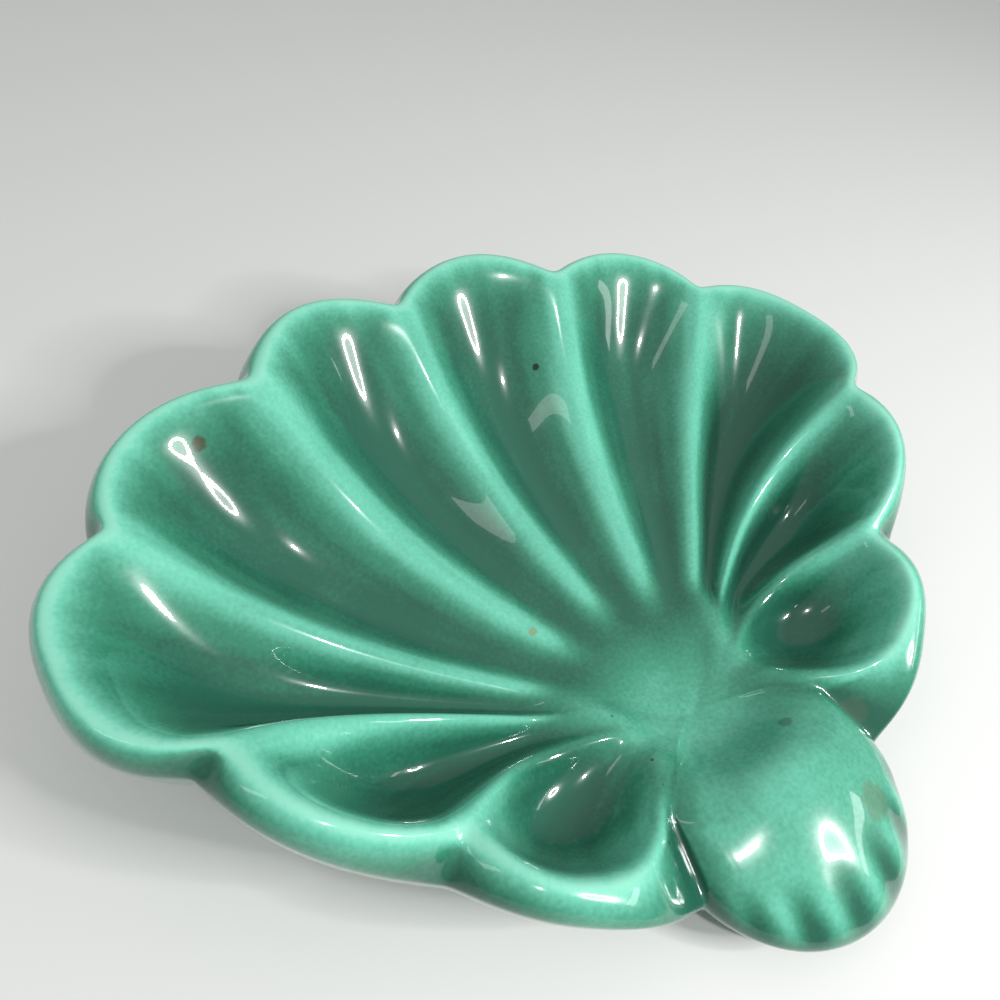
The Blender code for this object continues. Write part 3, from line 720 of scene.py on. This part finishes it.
def wall_rows(knob, station, turn, bowl, edge):
    """Outside from the crest to the widest line, and how thick its glaze pools, with painted shade below each
    notch, beside the creases and low on the knob, and a painted highlight along the crest.

    It is a cubic that leaves the crest in the bowl's own tangent plane and arrives straight down, with
    control points at the share that makes a quarter ellipse where the crest is level. A cosine across the
    knob makes its ribs, and a squared sine down the wall makes a dent below each notch.
    """
    crest = bowl[:, -1]
    out = (edge - crest)[:, :2]
    along = bowl[:, -1] - bowl[:, -2]
    around = np.roll(crest, -1, 0) - np.roll(crest, 1, 0)
    solved = np.linalg.solve(np.stack([along[:, :2], around[:, :2]], -1), out[..., None])[..., 0]
    slope = np.clip(solved[:, 0] * along[:, 2] + solved[:, 1] * around[:, 2], (edge - crest)[:, 2], 0)
    down = turn / (math.pi / 2)
    dome = np.where(station >= CREASE, knob_dome(station), 0.0)[:, None]
    flat_start, flat_stop = DOME_FLATTENING
    start = crest + (QUARTER - flat_start * dome) * np.concatenate([out, slope[:, None]], 1)
    above = (QUARTER - flat_stop * dome) * (crest - edge)[:, 2:]
    stop = np.concatenate([edge[:, :2], edge[:, 2:] + above], 1)
    rows = cubic(down[None, :, None], crest[:, None], start[:, None], stop[:, None], edge[:, None])
    plan, height = rows[..., :2], rows[..., 2]
    side = knob_side(station)
    on_knob = (station >= CREASE)[:, None]
    wave = (np.cos(math.pi * knob.rib_count * side) * (1 - side**4))[:, None] * on_knob
    share = np.clip((down - RIB_START) / (1 - RIB_START), 0, 1)
    relief = wave * np.sin(math.pi * share) ** RIB_POWER
    height = height + knob.rib_height * relief
    _, across = lobe_and_across(station)
    open_rim = away_from_crease(station)
    near = fade(1 - np.abs(across), DENT_WIDTH) * open_rim * (station < CREASE)
    inward = unit(np.array([0.0, DENT_AIM * np.abs(edge[:, 1]).max()]) - edge[:, :2])
    plan = plan + (knob.dent * near)[:, None, None] * inward[:, None] * (np.sin(2 * turn) ** 2)[None, :, None]
    # Painted shade in the dent below each notch, growing down the wall
    notch = (1 - scallop(across, 2.0, NOTCH_PAINTED_SHADE_SOFTNESS))[:, None] * np.sin(turn) ** NOTCH_PAINTED_SHADE_POWER
    # Knob: lighter glaze on the ribs, and painted shade on its lower face
    on_rib = KNOB_SHADE - RIB_SHADE * relief + LOW_PAINTED_SHADE * smooth_step(down, *LOW_STEP)
    deep = np.where(on_knob, on_rib, WALL_SHADE + NOTCH_PAINTED_SHADE * notch)
    # Paler towards the crest, and on the crest a painted highlight over the thinnest glaze, less at the
    # notches
    crest_side = np.where(on_knob, 0.0, open_rim[:, None]) * (1 - NOTCH_CREST_SHARE * notch**2)
    deep = deep * (1 - np.cos(turn) ** 3 * crest_side) - CREST_PALE_AND_HIGHLIGHT * fade(turn, CREST_PALE_AND_HIGHLIGHT_TURN) * crest_side
    # Painted shade on the outer wall beside the creases
    deep = deep + CREASE_PAINTED_SHADE * (1 - open_rim[:, None])
    return np.concatenate([plan, height[..., None]], -1), deep


def under_rows(wall, turn, edge, foot):
    """Underside from the widest line in to the foot, and its glaze: a cubic from straight down to level."""
    end = foot + np.array([0.0, 0.0, wall.foot_lift])
    room = np.minimum(wall.edge_drop, QUARTER * (edge[:, 2] - wall.foot_lift))
    start = edge - np.stack([0 * room, 0 * room, room], 1)
    stop = end + (edge - end) * np.array([UNDER_SHARE, UNDER_SHARE, 0.0])
    rows = cubic(turn[None, :, None], edge[:, None], start[:, None], stop[:, None], end[:, None])
    return rows, np.full(rows.shape[:2], UNDER_SHADE)


def dish_sheet(context, step=1):
    """The sheet's pole, grid and pooling with its painted shade and highlight, the foot's outer edge and its
    middle, fitted to the CAD box.

    The grid's first index is the column and its second the row. Fitting maps the sheet's own box in plan
    to the frame's box, so that the finer grid stays inside the CAD model.
    """
    scene = context.scene
    bowl, knob, wall = scene.dish_bowl, scene.dish_knob, scene.dish_wall
    station = columns(knob, step)
    way = (1 - (1 - np.arange(1, BOWL_ROWS + 1) / BOWL_ROWS) ** ROW_POWER)[None]
    crest, swell = crest_line(bowl, knob, station)
    edge, loop = edge_line(bowl, knob, wall, station)
    foot = foot_line(bowl, wall, loop)
    inside, inside_deep = bowl_rows(bowl, knob, station, way, crest, swell)
    turn = np.arange(1, WALL_ROWS + 1) / WALL_ROWS * math.pi / 2
    outside, outside_deep = wall_rows(knob, station, turn, inside, edge)
    turn = np.arange(1, UNDER_ROWS + 1) / UNDER_ROWS * wall.glaze_line
    under, under_deep = under_rows(wall, turn, edge, foot)
    grid = np.concatenate([inside, outside, under], 1)
    deep = np.concatenate([inside_deep, outside_deep, under_deep], 1)
    pole = np.array([0.0, 0.0, bowl.focus_height])
    middle = np.array([*dish_middle(bowl), 0.0])

    low, high = grid.min((0, 1)), grid.max((0, 1))
    scale = np.array([*((np.array(CAD_HIGH) - np.array(CAD_LOW)) / (high - low))[:2], 1.0])
    shift = np.array([*(np.array(CAD_LOW) - low * scale)[:2], 0.0])
    return pole * scale + shift, grid * scale + shift, deep, foot * scale + shift, middle * scale + shift


def sheet_normals(grid):
    """Outward normals: the cross product of the differences round and along the grid, evened out once."""
    along = np.concatenate(
        [grid[:, 1:2] - grid[:, :1], grid[:, 2:] - grid[:, :-2], grid[:, -1:] - grid[:, -2:-1]], 1)
    around = np.roll(grid, -1, 0) - np.roll(grid, 1, 0)
    normals = unit(np.cross(around, along))
    return unit(np.roll(normals, 1, 0) + 2 * normals + np.roll(normals, -1, 0))


def closed_piece(name, top, grid, bottom, deep=None):
    """Mesh from a grid that runs from a top pole outwards, round the edge and back to a bottom pole.

    Each row is a closed ring. Fans of triangles close the two poles, so the piece is one closed body
    whose faces point outwards. Deep is kept on the points as the attribute glaze_depth_and_painted_light.
    """
    count, rows, _ = grid.shape
    points = np.concatenate([[top], grid.reshape(-1, 3), [bottom]])
    here = 1 + np.arange(count)[:, None] * rows + np.arange(rows - 1)[None]
    there = 1 + ((np.arange(count) + 1) % count)[:, None] * rows + np.arange(rows - 1)[None]
    quads = np.stack([here, there, there + 1, here + 1], -1).reshape(-1, 4)
    first, last = here[:, 0], there[:, 0]
    opening = np.stack([np.zeros(count, int), last, first], -1)
    closing = np.stack([np.full(count, len(points) - 1), first + rows - 1, last + rows - 1], -1)
    mesh = bpy.data.meshes.new(name)
    mesh.from_pydata(points.tolist(), [], opening.tolist() + quads.tolist() + closing.tolist())
    if deep is not None:
        values = np.concatenate([[deep[:, 0].mean()], deep.ravel(), [deep[:, -1].mean()]])
        depth = mesh.attributes.new("glaze_depth_and_painted_light", "FLOAT", "POINT")
        depth.data.foreach_set("value", values.astype(np.float32))
    mesh.update()
    mesh.shade_smooth()
    piece = bpy.data.objects.new(name, mesh)
    bpy.context.scene.collection.objects.link(piece)
    return piece


class Wiring:
    """Short calls for the nodes of one material or group."""

    def __init__(self, tree):
        """Keeps the node tree."""
        self.tree = tree

    def node(self, kind, settings=None, **inputs):
        """Adds a node. Inputs are named by socket, or i0, i1 and so on; sockets are linked, values set."""
        node = self.tree.nodes.new(kind)
        for key, value in (settings or {}).items():
            setattr(node, key, value)
        for key, value in inputs.items():
            spot = node.inputs[int(key[1:])] if key[1:].isdigit() else node.inputs[key.replace("_", " ")]
            if isinstance(value, bpy.types.NodeSocket):
                self.tree.links.new(value, spot)
            else:
                spot.default_value = value
        return node

    def math(self, how, *values, clamp=False):
        """Result of one Math node."""
        inputs = {f"i{place}": value for place, value in enumerate(values)}
        return self.node("ShaderNodeMath", {"operation": how, "use_clamp": clamp}, **inputs).outputs[0]

    def mix(self, share, first, second):
        """Colour between two colours."""
        node = self.node("ShaderNodeMix", {"data_type": "RGBA"})
        for place, value in ((0, share), (6, first), (7, second)):
            if isinstance(value, bpy.types.NodeSocket):
                self.tree.links.new(value, node.inputs[place])
            else:
                node.inputs[place].default_value = value if place == 0 else (*value[:3], 1.0)
        return node.outputs[2]

    def ramp(self, value, low, high):
        """Value stretched smoothly from low..high to 0..1."""
        return self.node(
            "ShaderNodeMapRange", {"interpolation_type": "SMOOTHSTEP"}, i0=value, i1=low, i2=high).outputs[0]

    def noise(self, vector, scale, detail=2.0):
        """Height of a noise at points."""
        return self.node("ShaderNodeTexNoise", None, Vector=vector, Scale=scale, Detail=detail).outputs[0]

    def group(self, name, **inputs):
        """Output of a node group placed with its own values. The group is built at its first use."""
        group = bpy.data.node_groups.get(name) or GROUP_MAKERS[name]()
        return self.node("ShaderNodeGroup", {"node_tree": group}, **inputs).outputs[0]


def new_group(name, inputs, outputs):
    """Empty shader node group with named inputs (name, socket type, default) and outputs."""
    group = bpy.data.node_groups.new(name, "ShaderNodeTree")
    for title, kind, default in inputs:
        spot = group.interface.new_socket(title, in_out="INPUT", socket_type=kind)
        if default is not None:
            spot.default_value = default
    for title, kind in outputs:
        group.interface.new_socket(title, in_out="OUTPUT", socket_type=kind)
    wires = Wiring(group)
    return group, wires, wires.node("NodeGroupInput"), wires.node("NodeGroupOutput")


def speckle_group():
    """Small round specks: the middles of a cell pattern's cells, kept where a cell's random tone is high."""
    group, wires, given, result = new_group(
        "Kiln specks",
        [("Vector", "NodeSocketVector", None), ("Scale", "NodeSocketFloat", 300.0),
         ("Size", "NodeSocketFloat", 0.2), ("Rarity", "NodeSocketFloat", 0.6)],
        [("Mask", "NodeSocketFloat")])
    cells = wires.node(
        "ShaderNodeTexVoronoi", {"feature": "F1"}, Vector=given.outputs[0], Scale=given.outputs[1])
    near = wires.math("LESS_THAN", cells.outputs["Distance"], given.outputs[2])
    chance = wires.node("ShaderNodeSeparateColor", None, Color=cells.outputs["Color"]).outputs[0]
    rare = wires.math("GREATER_THAN", chance, given.outputs[3])
    wires.tree.links.new(wires.math("MULTIPLY", near, rare), result.inputs[0])
    return group


def cloud_group():
    """Soft clouds of tone: two sizes of noise added, centred on zero."""
    group, wires, given, result = new_group(
        "Glaze clouds",
        [("Vector", "NodeSocketVector", None), ("Scale", "NodeSocketFloat", 60.0)],
        [("Cloud", "NodeSocketFloat")])
    coarse = wires.noise(given.outputs[0], given.outputs[1], 4.0)
    fine = wires.noise(given.outputs[0], wires.math("MULTIPLY", given.outputs[1], FINE_CLOUD_SCALE), 3.0)
    total = wires.math("ADD", coarse, wires.math("MULTIPLY", fine, FINE_CLOUDS))
    wires.tree.links.new(wires.math("SUBTRACT", total, CLOUD_MIDDLE), result.inputs[0])
    return group


def spot_group():
    """One round mark: 1 within a radius of a centre, with a soft wobbly edge."""
    group, wires, given, result = new_group(
        "Kiln mark",
        [("Vector", "NodeSocketVector", None), ("Centre", "NodeSocketVector", None),
         ("Radius", "NodeSocketFloat", 0.001)],
        [("Mask", "NodeSocketFloat")])
    wobble = wires.noise(given.outputs[0], 900.0)
    gap = wires.node(
        "ShaderNodeVectorMath", {"operation": "DISTANCE"}, i0=given.outputs[0], i1=given.outputs[1])
    share = wires.math("DIVIDE", gap.outputs["Value"], given.outputs[2])
    wobble = wires.math("MULTIPLY", wires.math("SUBTRACT", wobble, 0.5), MARK_WOBBLE)
    wires.tree.links.new(wires.ramp(wires.math("ADD", share, wobble), *MARK_EDGE), result.inputs[0])
    return group


GROUP_MAKERS = {"Kiln specks": speckle_group, "Glaze clouds": cloud_group, "Kiln mark": spot_group}


def new_material(name):
    """Material with nodes, its wiring and its Principled shader."""
    material = bpy.data.materials.new(name)
    material.use_nodes = True
    return material, Wiring(material.node_tree), material.node_tree.nodes["Principled BSDF"]


def paint(wires, shader, colour, relief, strength, distance, **even):
    """Gives a shader its colour, a bump from a relief, and values that are the same all over."""
    bump = wires.node("ShaderNodeBump", None, Strength=strength, Distance=distance, Height=relief)
    wires.tree.links.new(colour, shader.inputs["Base Color"])
    wires.tree.links.new(bump.outputs[0], shader.inputs["Normal"])
    for name, value in even.items():
        shader.inputs[name.replace("_", " ")].default_value = value


def glaze_material(colours):
    """Green glaze: thin and minty on ridges and rim, deep in the flutes, with clouds and kiln marks, painted
    shade in notches and creases and a painted highlight along the crest.
    """
    material, wires, shader = new_material("Green glaze")
    place = wires.node("ShaderNodeTexCoord").outputs["Object"]
    # The depth attribute holds the glaze's pooling, with painted shade and a painted crest highlight mixed in
    depth = wires.node("ShaderNodeAttribute", {"attribute_name": "glaze_depth_and_painted_light"}).outputs["Fac"]
    cloud = wires.group("Glaze clouds", Vector=place, Scale=55.0)
    depth = wires.math("ADD", depth, wires.math("MULTIPLY", cloud, GLAZE_CLOUDS))
    colour = colours.crest
    for tone, low, high in GLAZE_TONES:
        colour = wires.mix(wires.ramp(depth, low, high), colour, getattr(colours, tone))
    for centre, radius, strength, stain in MARKS:
        mark = wires.group("Kiln mark", Vector=place, Centre=centre, Radius=radius)
        colour = wires.mix(wires.math("MULTIPLY", mark, strength), colour, stain)
    paint(wires, shader, colour, wires.noise(place, 120.0, 1.0), *GLAZE_BUMP,
          Specular_IOR_Level=0.2, Coat_Weight=1.0, Coat_Roughness=0.02, Coat_IOR=1.42)
    haze = wires.group("Glaze clouds", Vector=place, Scale=140.0)
    rough = wires.math("ADD", wires.math("MULTIPLY", haze, GLAZE_HAZE), GLAZE_ROUGHNESS)
    wires.tree.links.new(rough, shader.inputs["Roughness"])
    return material


def clay_material(colours):
    """Bare fired clay: buff with clouds of tone, iron specks and a fine grain."""
    material, wires, shader = new_material("Fired clay")
    place = wires.node("ShaderNodeTexCoord").outputs["Object"]
    cloud = wires.group("Glaze clouds", Vector=place, Scale=90.0)
    dark = [share * CLAY_DARKNESS for share in colours.clay]
    share = wires.math("ADD", wires.math("MULTIPLY", cloud, CLAY_CLOUDS), 0.4, clamp=True)
    colour = wires.mix(share, colours.clay, dark)
    specks = wires.group("Kiln specks", Vector=place, Scale=1100.0, Size=0.3, Rarity=0.86)
    colour = wires.mix(wires.math("MULTIPLY", specks, CLAY_SPECKS), colour, colours.iron)
    paint(wires, shader, colour, wires.noise(place, 2600.0, 3.0), *CLAY_BUMP, Roughness=0.86)
    return material


def pool_material(colours):
    """Underside glaze: even green brushed on thinly, with clouds and a few iron specks."""
    material, wires, shader = new_material("Underside green glaze")
    place = wires.node("ShaderNodeTexCoord").outputs["Object"]
    cloud = wires.group("Glaze clouds", Vector=place, Scale=35.0)
    share = wires.math("ADD", wires.math("MULTIPLY", cloud, POOL_CLOUDS), 0.5, clamp=True)
    colour = wires.mix(share, colours.even, colours.deep)
    specks = wires.group("Kiln specks", Vector=place, Scale=700.0, Size=0.22, Rarity=0.94)
    colour = wires.mix(wires.math("MULTIPLY", specks, POOL_SPECKS), colour, colours.iron)
    paint(wires, shader, colour, wires.noise(place, 160.0), *POOL_BUMP, Roughness=0.14)
    return material


class DISH_OT_glaze(bpy.types.Operator):
    """Lays the fine glaze coat over the dish in place of the CAD node."""

    bl_idname = "dish.glaze"
    bl_label = "Glaze coat"

    def execute(self, context):
        """Closes the sheet with a second skin drawn in by the glaze's thickness."""
        pole, grid, deep, _, _ = dish_sheet(context)
        thickness = context.scene.dish_wall.glaze
        inner = (grid - sheet_normals(grid) * thickness)[:, ::-INNER_STEP]
        whole = np.concatenate([grid, inner], 1)
        depth = np.concatenate([deep, deep[:, ::-INNER_STEP]], 1)
        piece = closed_piece("fine_glaze_coat", pole, whole, pole - np.array([0, 0, thickness]), depth)
        piece.data.materials.append(glaze_material(context.scene.dish_colours))
        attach(piece, "root")
        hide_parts("glaze_coat")
        return {"FINISHED"}


class DISH_OT_clay(bpy.types.Operator):
    """Builds the fine clay body inside the glaze, with its rounded foot ring."""

    bl_idname = "dish.clay"
    bl_label = "Clay body"

    def execute(self, context):
        """Draws the sheet in under the glaze and goes on round the foot ring to the recess."""
        wall = context.scene.dish_wall
        pole, grid, _, foot, middle = dish_sheet(context, CLAY_STEP)
        drawn = wall.glaze + wall.gap
        lift = np.array([0.0, 0.0, wall.foot_lift + drawn])
        inward = -unit(foot - middle)
        inner = foot + inward * wall.foot_width
        ceiling = np.array([0.0, 0.0, wall.recess])
        turn = np.radians(FOOT_TURNS)[None, :, None]
        drop = wall.foot_round * (1 - np.sin(turn)) * np.array([0, 0, 1])
        round_off = inward[:, None] * wall.foot_round * (1 - np.cos(turn))
        down = foot[:, None] + round_off + drop
        up = (inner[:, None] - round_off + drop)[:, ::-1]
        rings = np.concatenate([(foot + lift)[:, None], down, up, (inner + ceiling)[:, None]], 1)
        body = np.concatenate([(grid - sheet_normals(grid) * drawn)[:, ::CLAY_STEP], rings], 1)
        piece = closed_piece("fine_clay_body", pole - np.array([0, 0, drawn]), body, middle + ceiling)
        piece.data.materials.append(clay_material(context.scene.dish_colours))
        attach(piece, "root")
        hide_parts("clay_body")
        return {"FINISHED"}


class DISH_OT_underside(bpy.types.Operator):
    """Builds the pool of glaze inside the foot ring, with a rounded edge."""

    bl_idname = "dish.underside"
    bl_label = "Underside glaze"

    def execute(self, context):
        """Runs a flat top, a round edge and a flat bottom as rings about the middle."""
        wall = context.scene.dish_wall
        _, _, _, foot, middle = dish_sheet(context, CLAY_STEP)
        inward = -unit(foot - middle)
        rim = foot + inward * (wall.foot_width + wall.pool_inset)
        top = wall.recess - wall.gap
        radius = wall.pool / 2
        turn = np.radians(np.linspace(90, -90, POOL_TURNS))[None, :, None]
        height = (top - radius + radius * np.sin(turn)) * np.array([0, 0, 1])
        grid = rim[:, None] + inward[:, None] * radius * (1 - np.cos(turn)) + height
        high, low = np.array([0, 0, top]), np.array([0, 0, top - wall.pool])
        piece = closed_piece("fine_underside_glaze", middle + high, grid, middle + low)
        piece.data.materials.append(pool_material(context.scene.dish_colours))
        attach(piece, "root")
        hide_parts("underside_glaze")
        return {"FINISHED"}


def add_lamp(target, name, direction, reach, size, power, shape):
    """Area lamp at a reach from the target in a direction, turned to face the target."""
    light = bpy.data.lights.new(name, "AREA")
    light.shape = shape
    light.size, light.size_y = size
    light.energy = power
    lamp = bpy.data.objects.new(name, light)
    ray = Vector(direction).normalized()
    lamp.location = target + ray * reach
    lamp.rotation_euler = ray.to_track_quat("Z", "Y").to_euler()
    bpy.context.scene.collection.objects.link(lamp)


def add_floor(stage):
    """Plain square floor at the dish's foot."""
    corners = [(x * FLOOR_REACH, y * FLOOR_REACH, 0) for x, y in ((-1, -1), (1, -1), (1, 1), (-1, 1))]
    mesh = bpy.data.meshes.new("floor")
    mesh.from_pydata(corners, [], [(0, 1, 2, 3)])
    floor = bpy.data.objects.new("floor", mesh)
    bpy.context.scene.collection.objects.link(floor)
    material, _, shader = new_material("Floor")
    shader.inputs["Base Color"].default_value = (*stage.floor, 1.0)
    shader.inputs["Roughness"].default_value = FLOOR_ROUGHNESS
    mesh.materials.append(material)


def add_lamps(stage, target):
    """Ring of small key lamps about one direction, and the other lamps."""
    middle = Vector(RING_DIRECTION).normalized()
    side = middle.cross(Vector((0, 0, 1))).normalized()
    for step in range(RING_LAMPS):
        turn = 2 * math.pi * step / RING_LAMPS
        place = middle + stage.ring * (side * math.cos(turn) + side.cross(middle) * math.sin(turn))
        add_lamp(target, f"ring lamp {step + 1}", place, RING_REACH, RING_LAMP_SIZE,
                 RING_POWER / RING_LAMPS, "DISK")
    for lamp in LAMPS:
        add_lamp(target, *lamp)


def add_room(stage):
    """Soft light from all round, which goes from the horizon's tone to the zenith's."""
    world = bpy.data.worlds.new("Soft room")
    world.use_nodes = True
    sky = Wiring(world.node_tree)
    ray = sky.node("ShaderNodeTexCoord").outputs["Generated"]
    rise = sky.node("ShaderNodeSeparateXYZ", None, Vector=ray).outputs[2]
    tone = sky.mix(sky.ramp(rise, 0.0, 1.0), stage.horizon, stage.zenith)
    sky.tree.links.new(tone, world.node_tree.nodes["Background"].inputs[0])
    bpy.context.scene.world = world
    bpy.context.scene.view_settings.view_transform = "Standard"


def add_camera(stage, target):
    """Camera at a distance from the target along its azimuth and elevation, tilted by its roll."""
    azimuth, elevation, roll = (math.radians(v) for v in (stage.azimuth, stage.elevation, stage.roll))
    back = Vector((math.sin(azimuth) * math.cos(elevation), -math.cos(azimuth) * math.cos(elevation),
                   math.sin(elevation)))
    right = (-back).cross(Vector((0, 0, 1))).normalized()
    up = right.cross(-back)
    rolled = right * math.cos(roll) + up * math.sin(roll)
    raised = -right * math.sin(roll) + up * math.cos(roll)
    camera = bpy.data.cameras.new("camera")
    camera.lens = stage.lens
    camera.sensor_width = SENSOR_WIDTH
    camera.clip_start = CLIP_START
    view = bpy.data.objects.new("camera", camera)
    view.matrix_world = Matrix.Translation(target + back * stage.distance) @ Matrix(
        (rolled, raised, back)).transposed().to_4x4()
    bpy.context.scene.collection.objects.link(view)
    bpy.context.scene.camera = view


class DISH_OT_stage(bpy.types.Operator):
    """Sets the floor, the lamps, the world and the camera."""

    bl_idname = "dish.stage"
    bl_label = "Stage"

    def execute(self, context):
        """Places a plain floor, soft lamps and the camera at the photograph's angle."""
        stage = context.scene.dish_stage
        target = Vector(stage.target)
        add_floor(stage)
        add_lamps(stage, target)
        add_room(stage)
        add_camera(stage, target)
        return {"FINISHED"}


class DISH_PT_panel(bpy.types.Panel):
    """Lists the dish's steps and sizes."""

    bl_idname = "DISH_PT_panel"
    bl_label = "Scallop shell dish"
    bl_space_type = "VIEW_3D"
    bl_region_type = "UI"
    bl_category = "Dish"

    def draw(self, context):
        """Draws a button for each operator and a row for each size and colour."""
        for operator in OPERATORS:
            self.layout.operator(operator.bl_idname)
        for key, group in GROUPS.items():
            box = self.layout.box()
            for name in group.__annotations__:
                box.prop(getattr(context.scene, key), name)


OPERATORS = (DISH_OT_clay, DISH_OT_glaze, DISH_OT_underside, DISH_OT_stage)
GROUPS = {"dish_bowl": DishBowl, "dish_knob": DishKnob, "dish_wall": DishWall, "dish_colours": DishColours,
          "dish_stage": DishStage}


def register():
    """Registers the classes and hangs each group of settings on the scene."""
    for item in (*GROUPS.values(), *OPERATORS, DISH_PT_panel):
        bpy.utils.register_class(item)
    for key, group in GROUPS.items():
        setattr(bpy.types.Scene, key, bpy.props.PointerProperty(type=group))


def unregister():
    """Takes the settings and the classes away again."""
    for key in GROUPS:
        delattr(bpy.types.Scene, key)
    for item in (DISH_PT_panel, *reversed(OPERATORS), *reversed(GROUPS.values())):
        bpy.utils.unregister_class(item)


def main():
    """Registers the add-on and runs its operators in order."""
    register()
    bpy.ops.dish.clay()
    bpy.ops.dish.glaze()
    bpy.ops.dish.underside()
    bpy.ops.dish.stage()


if __name__ == "__main__":
    main()
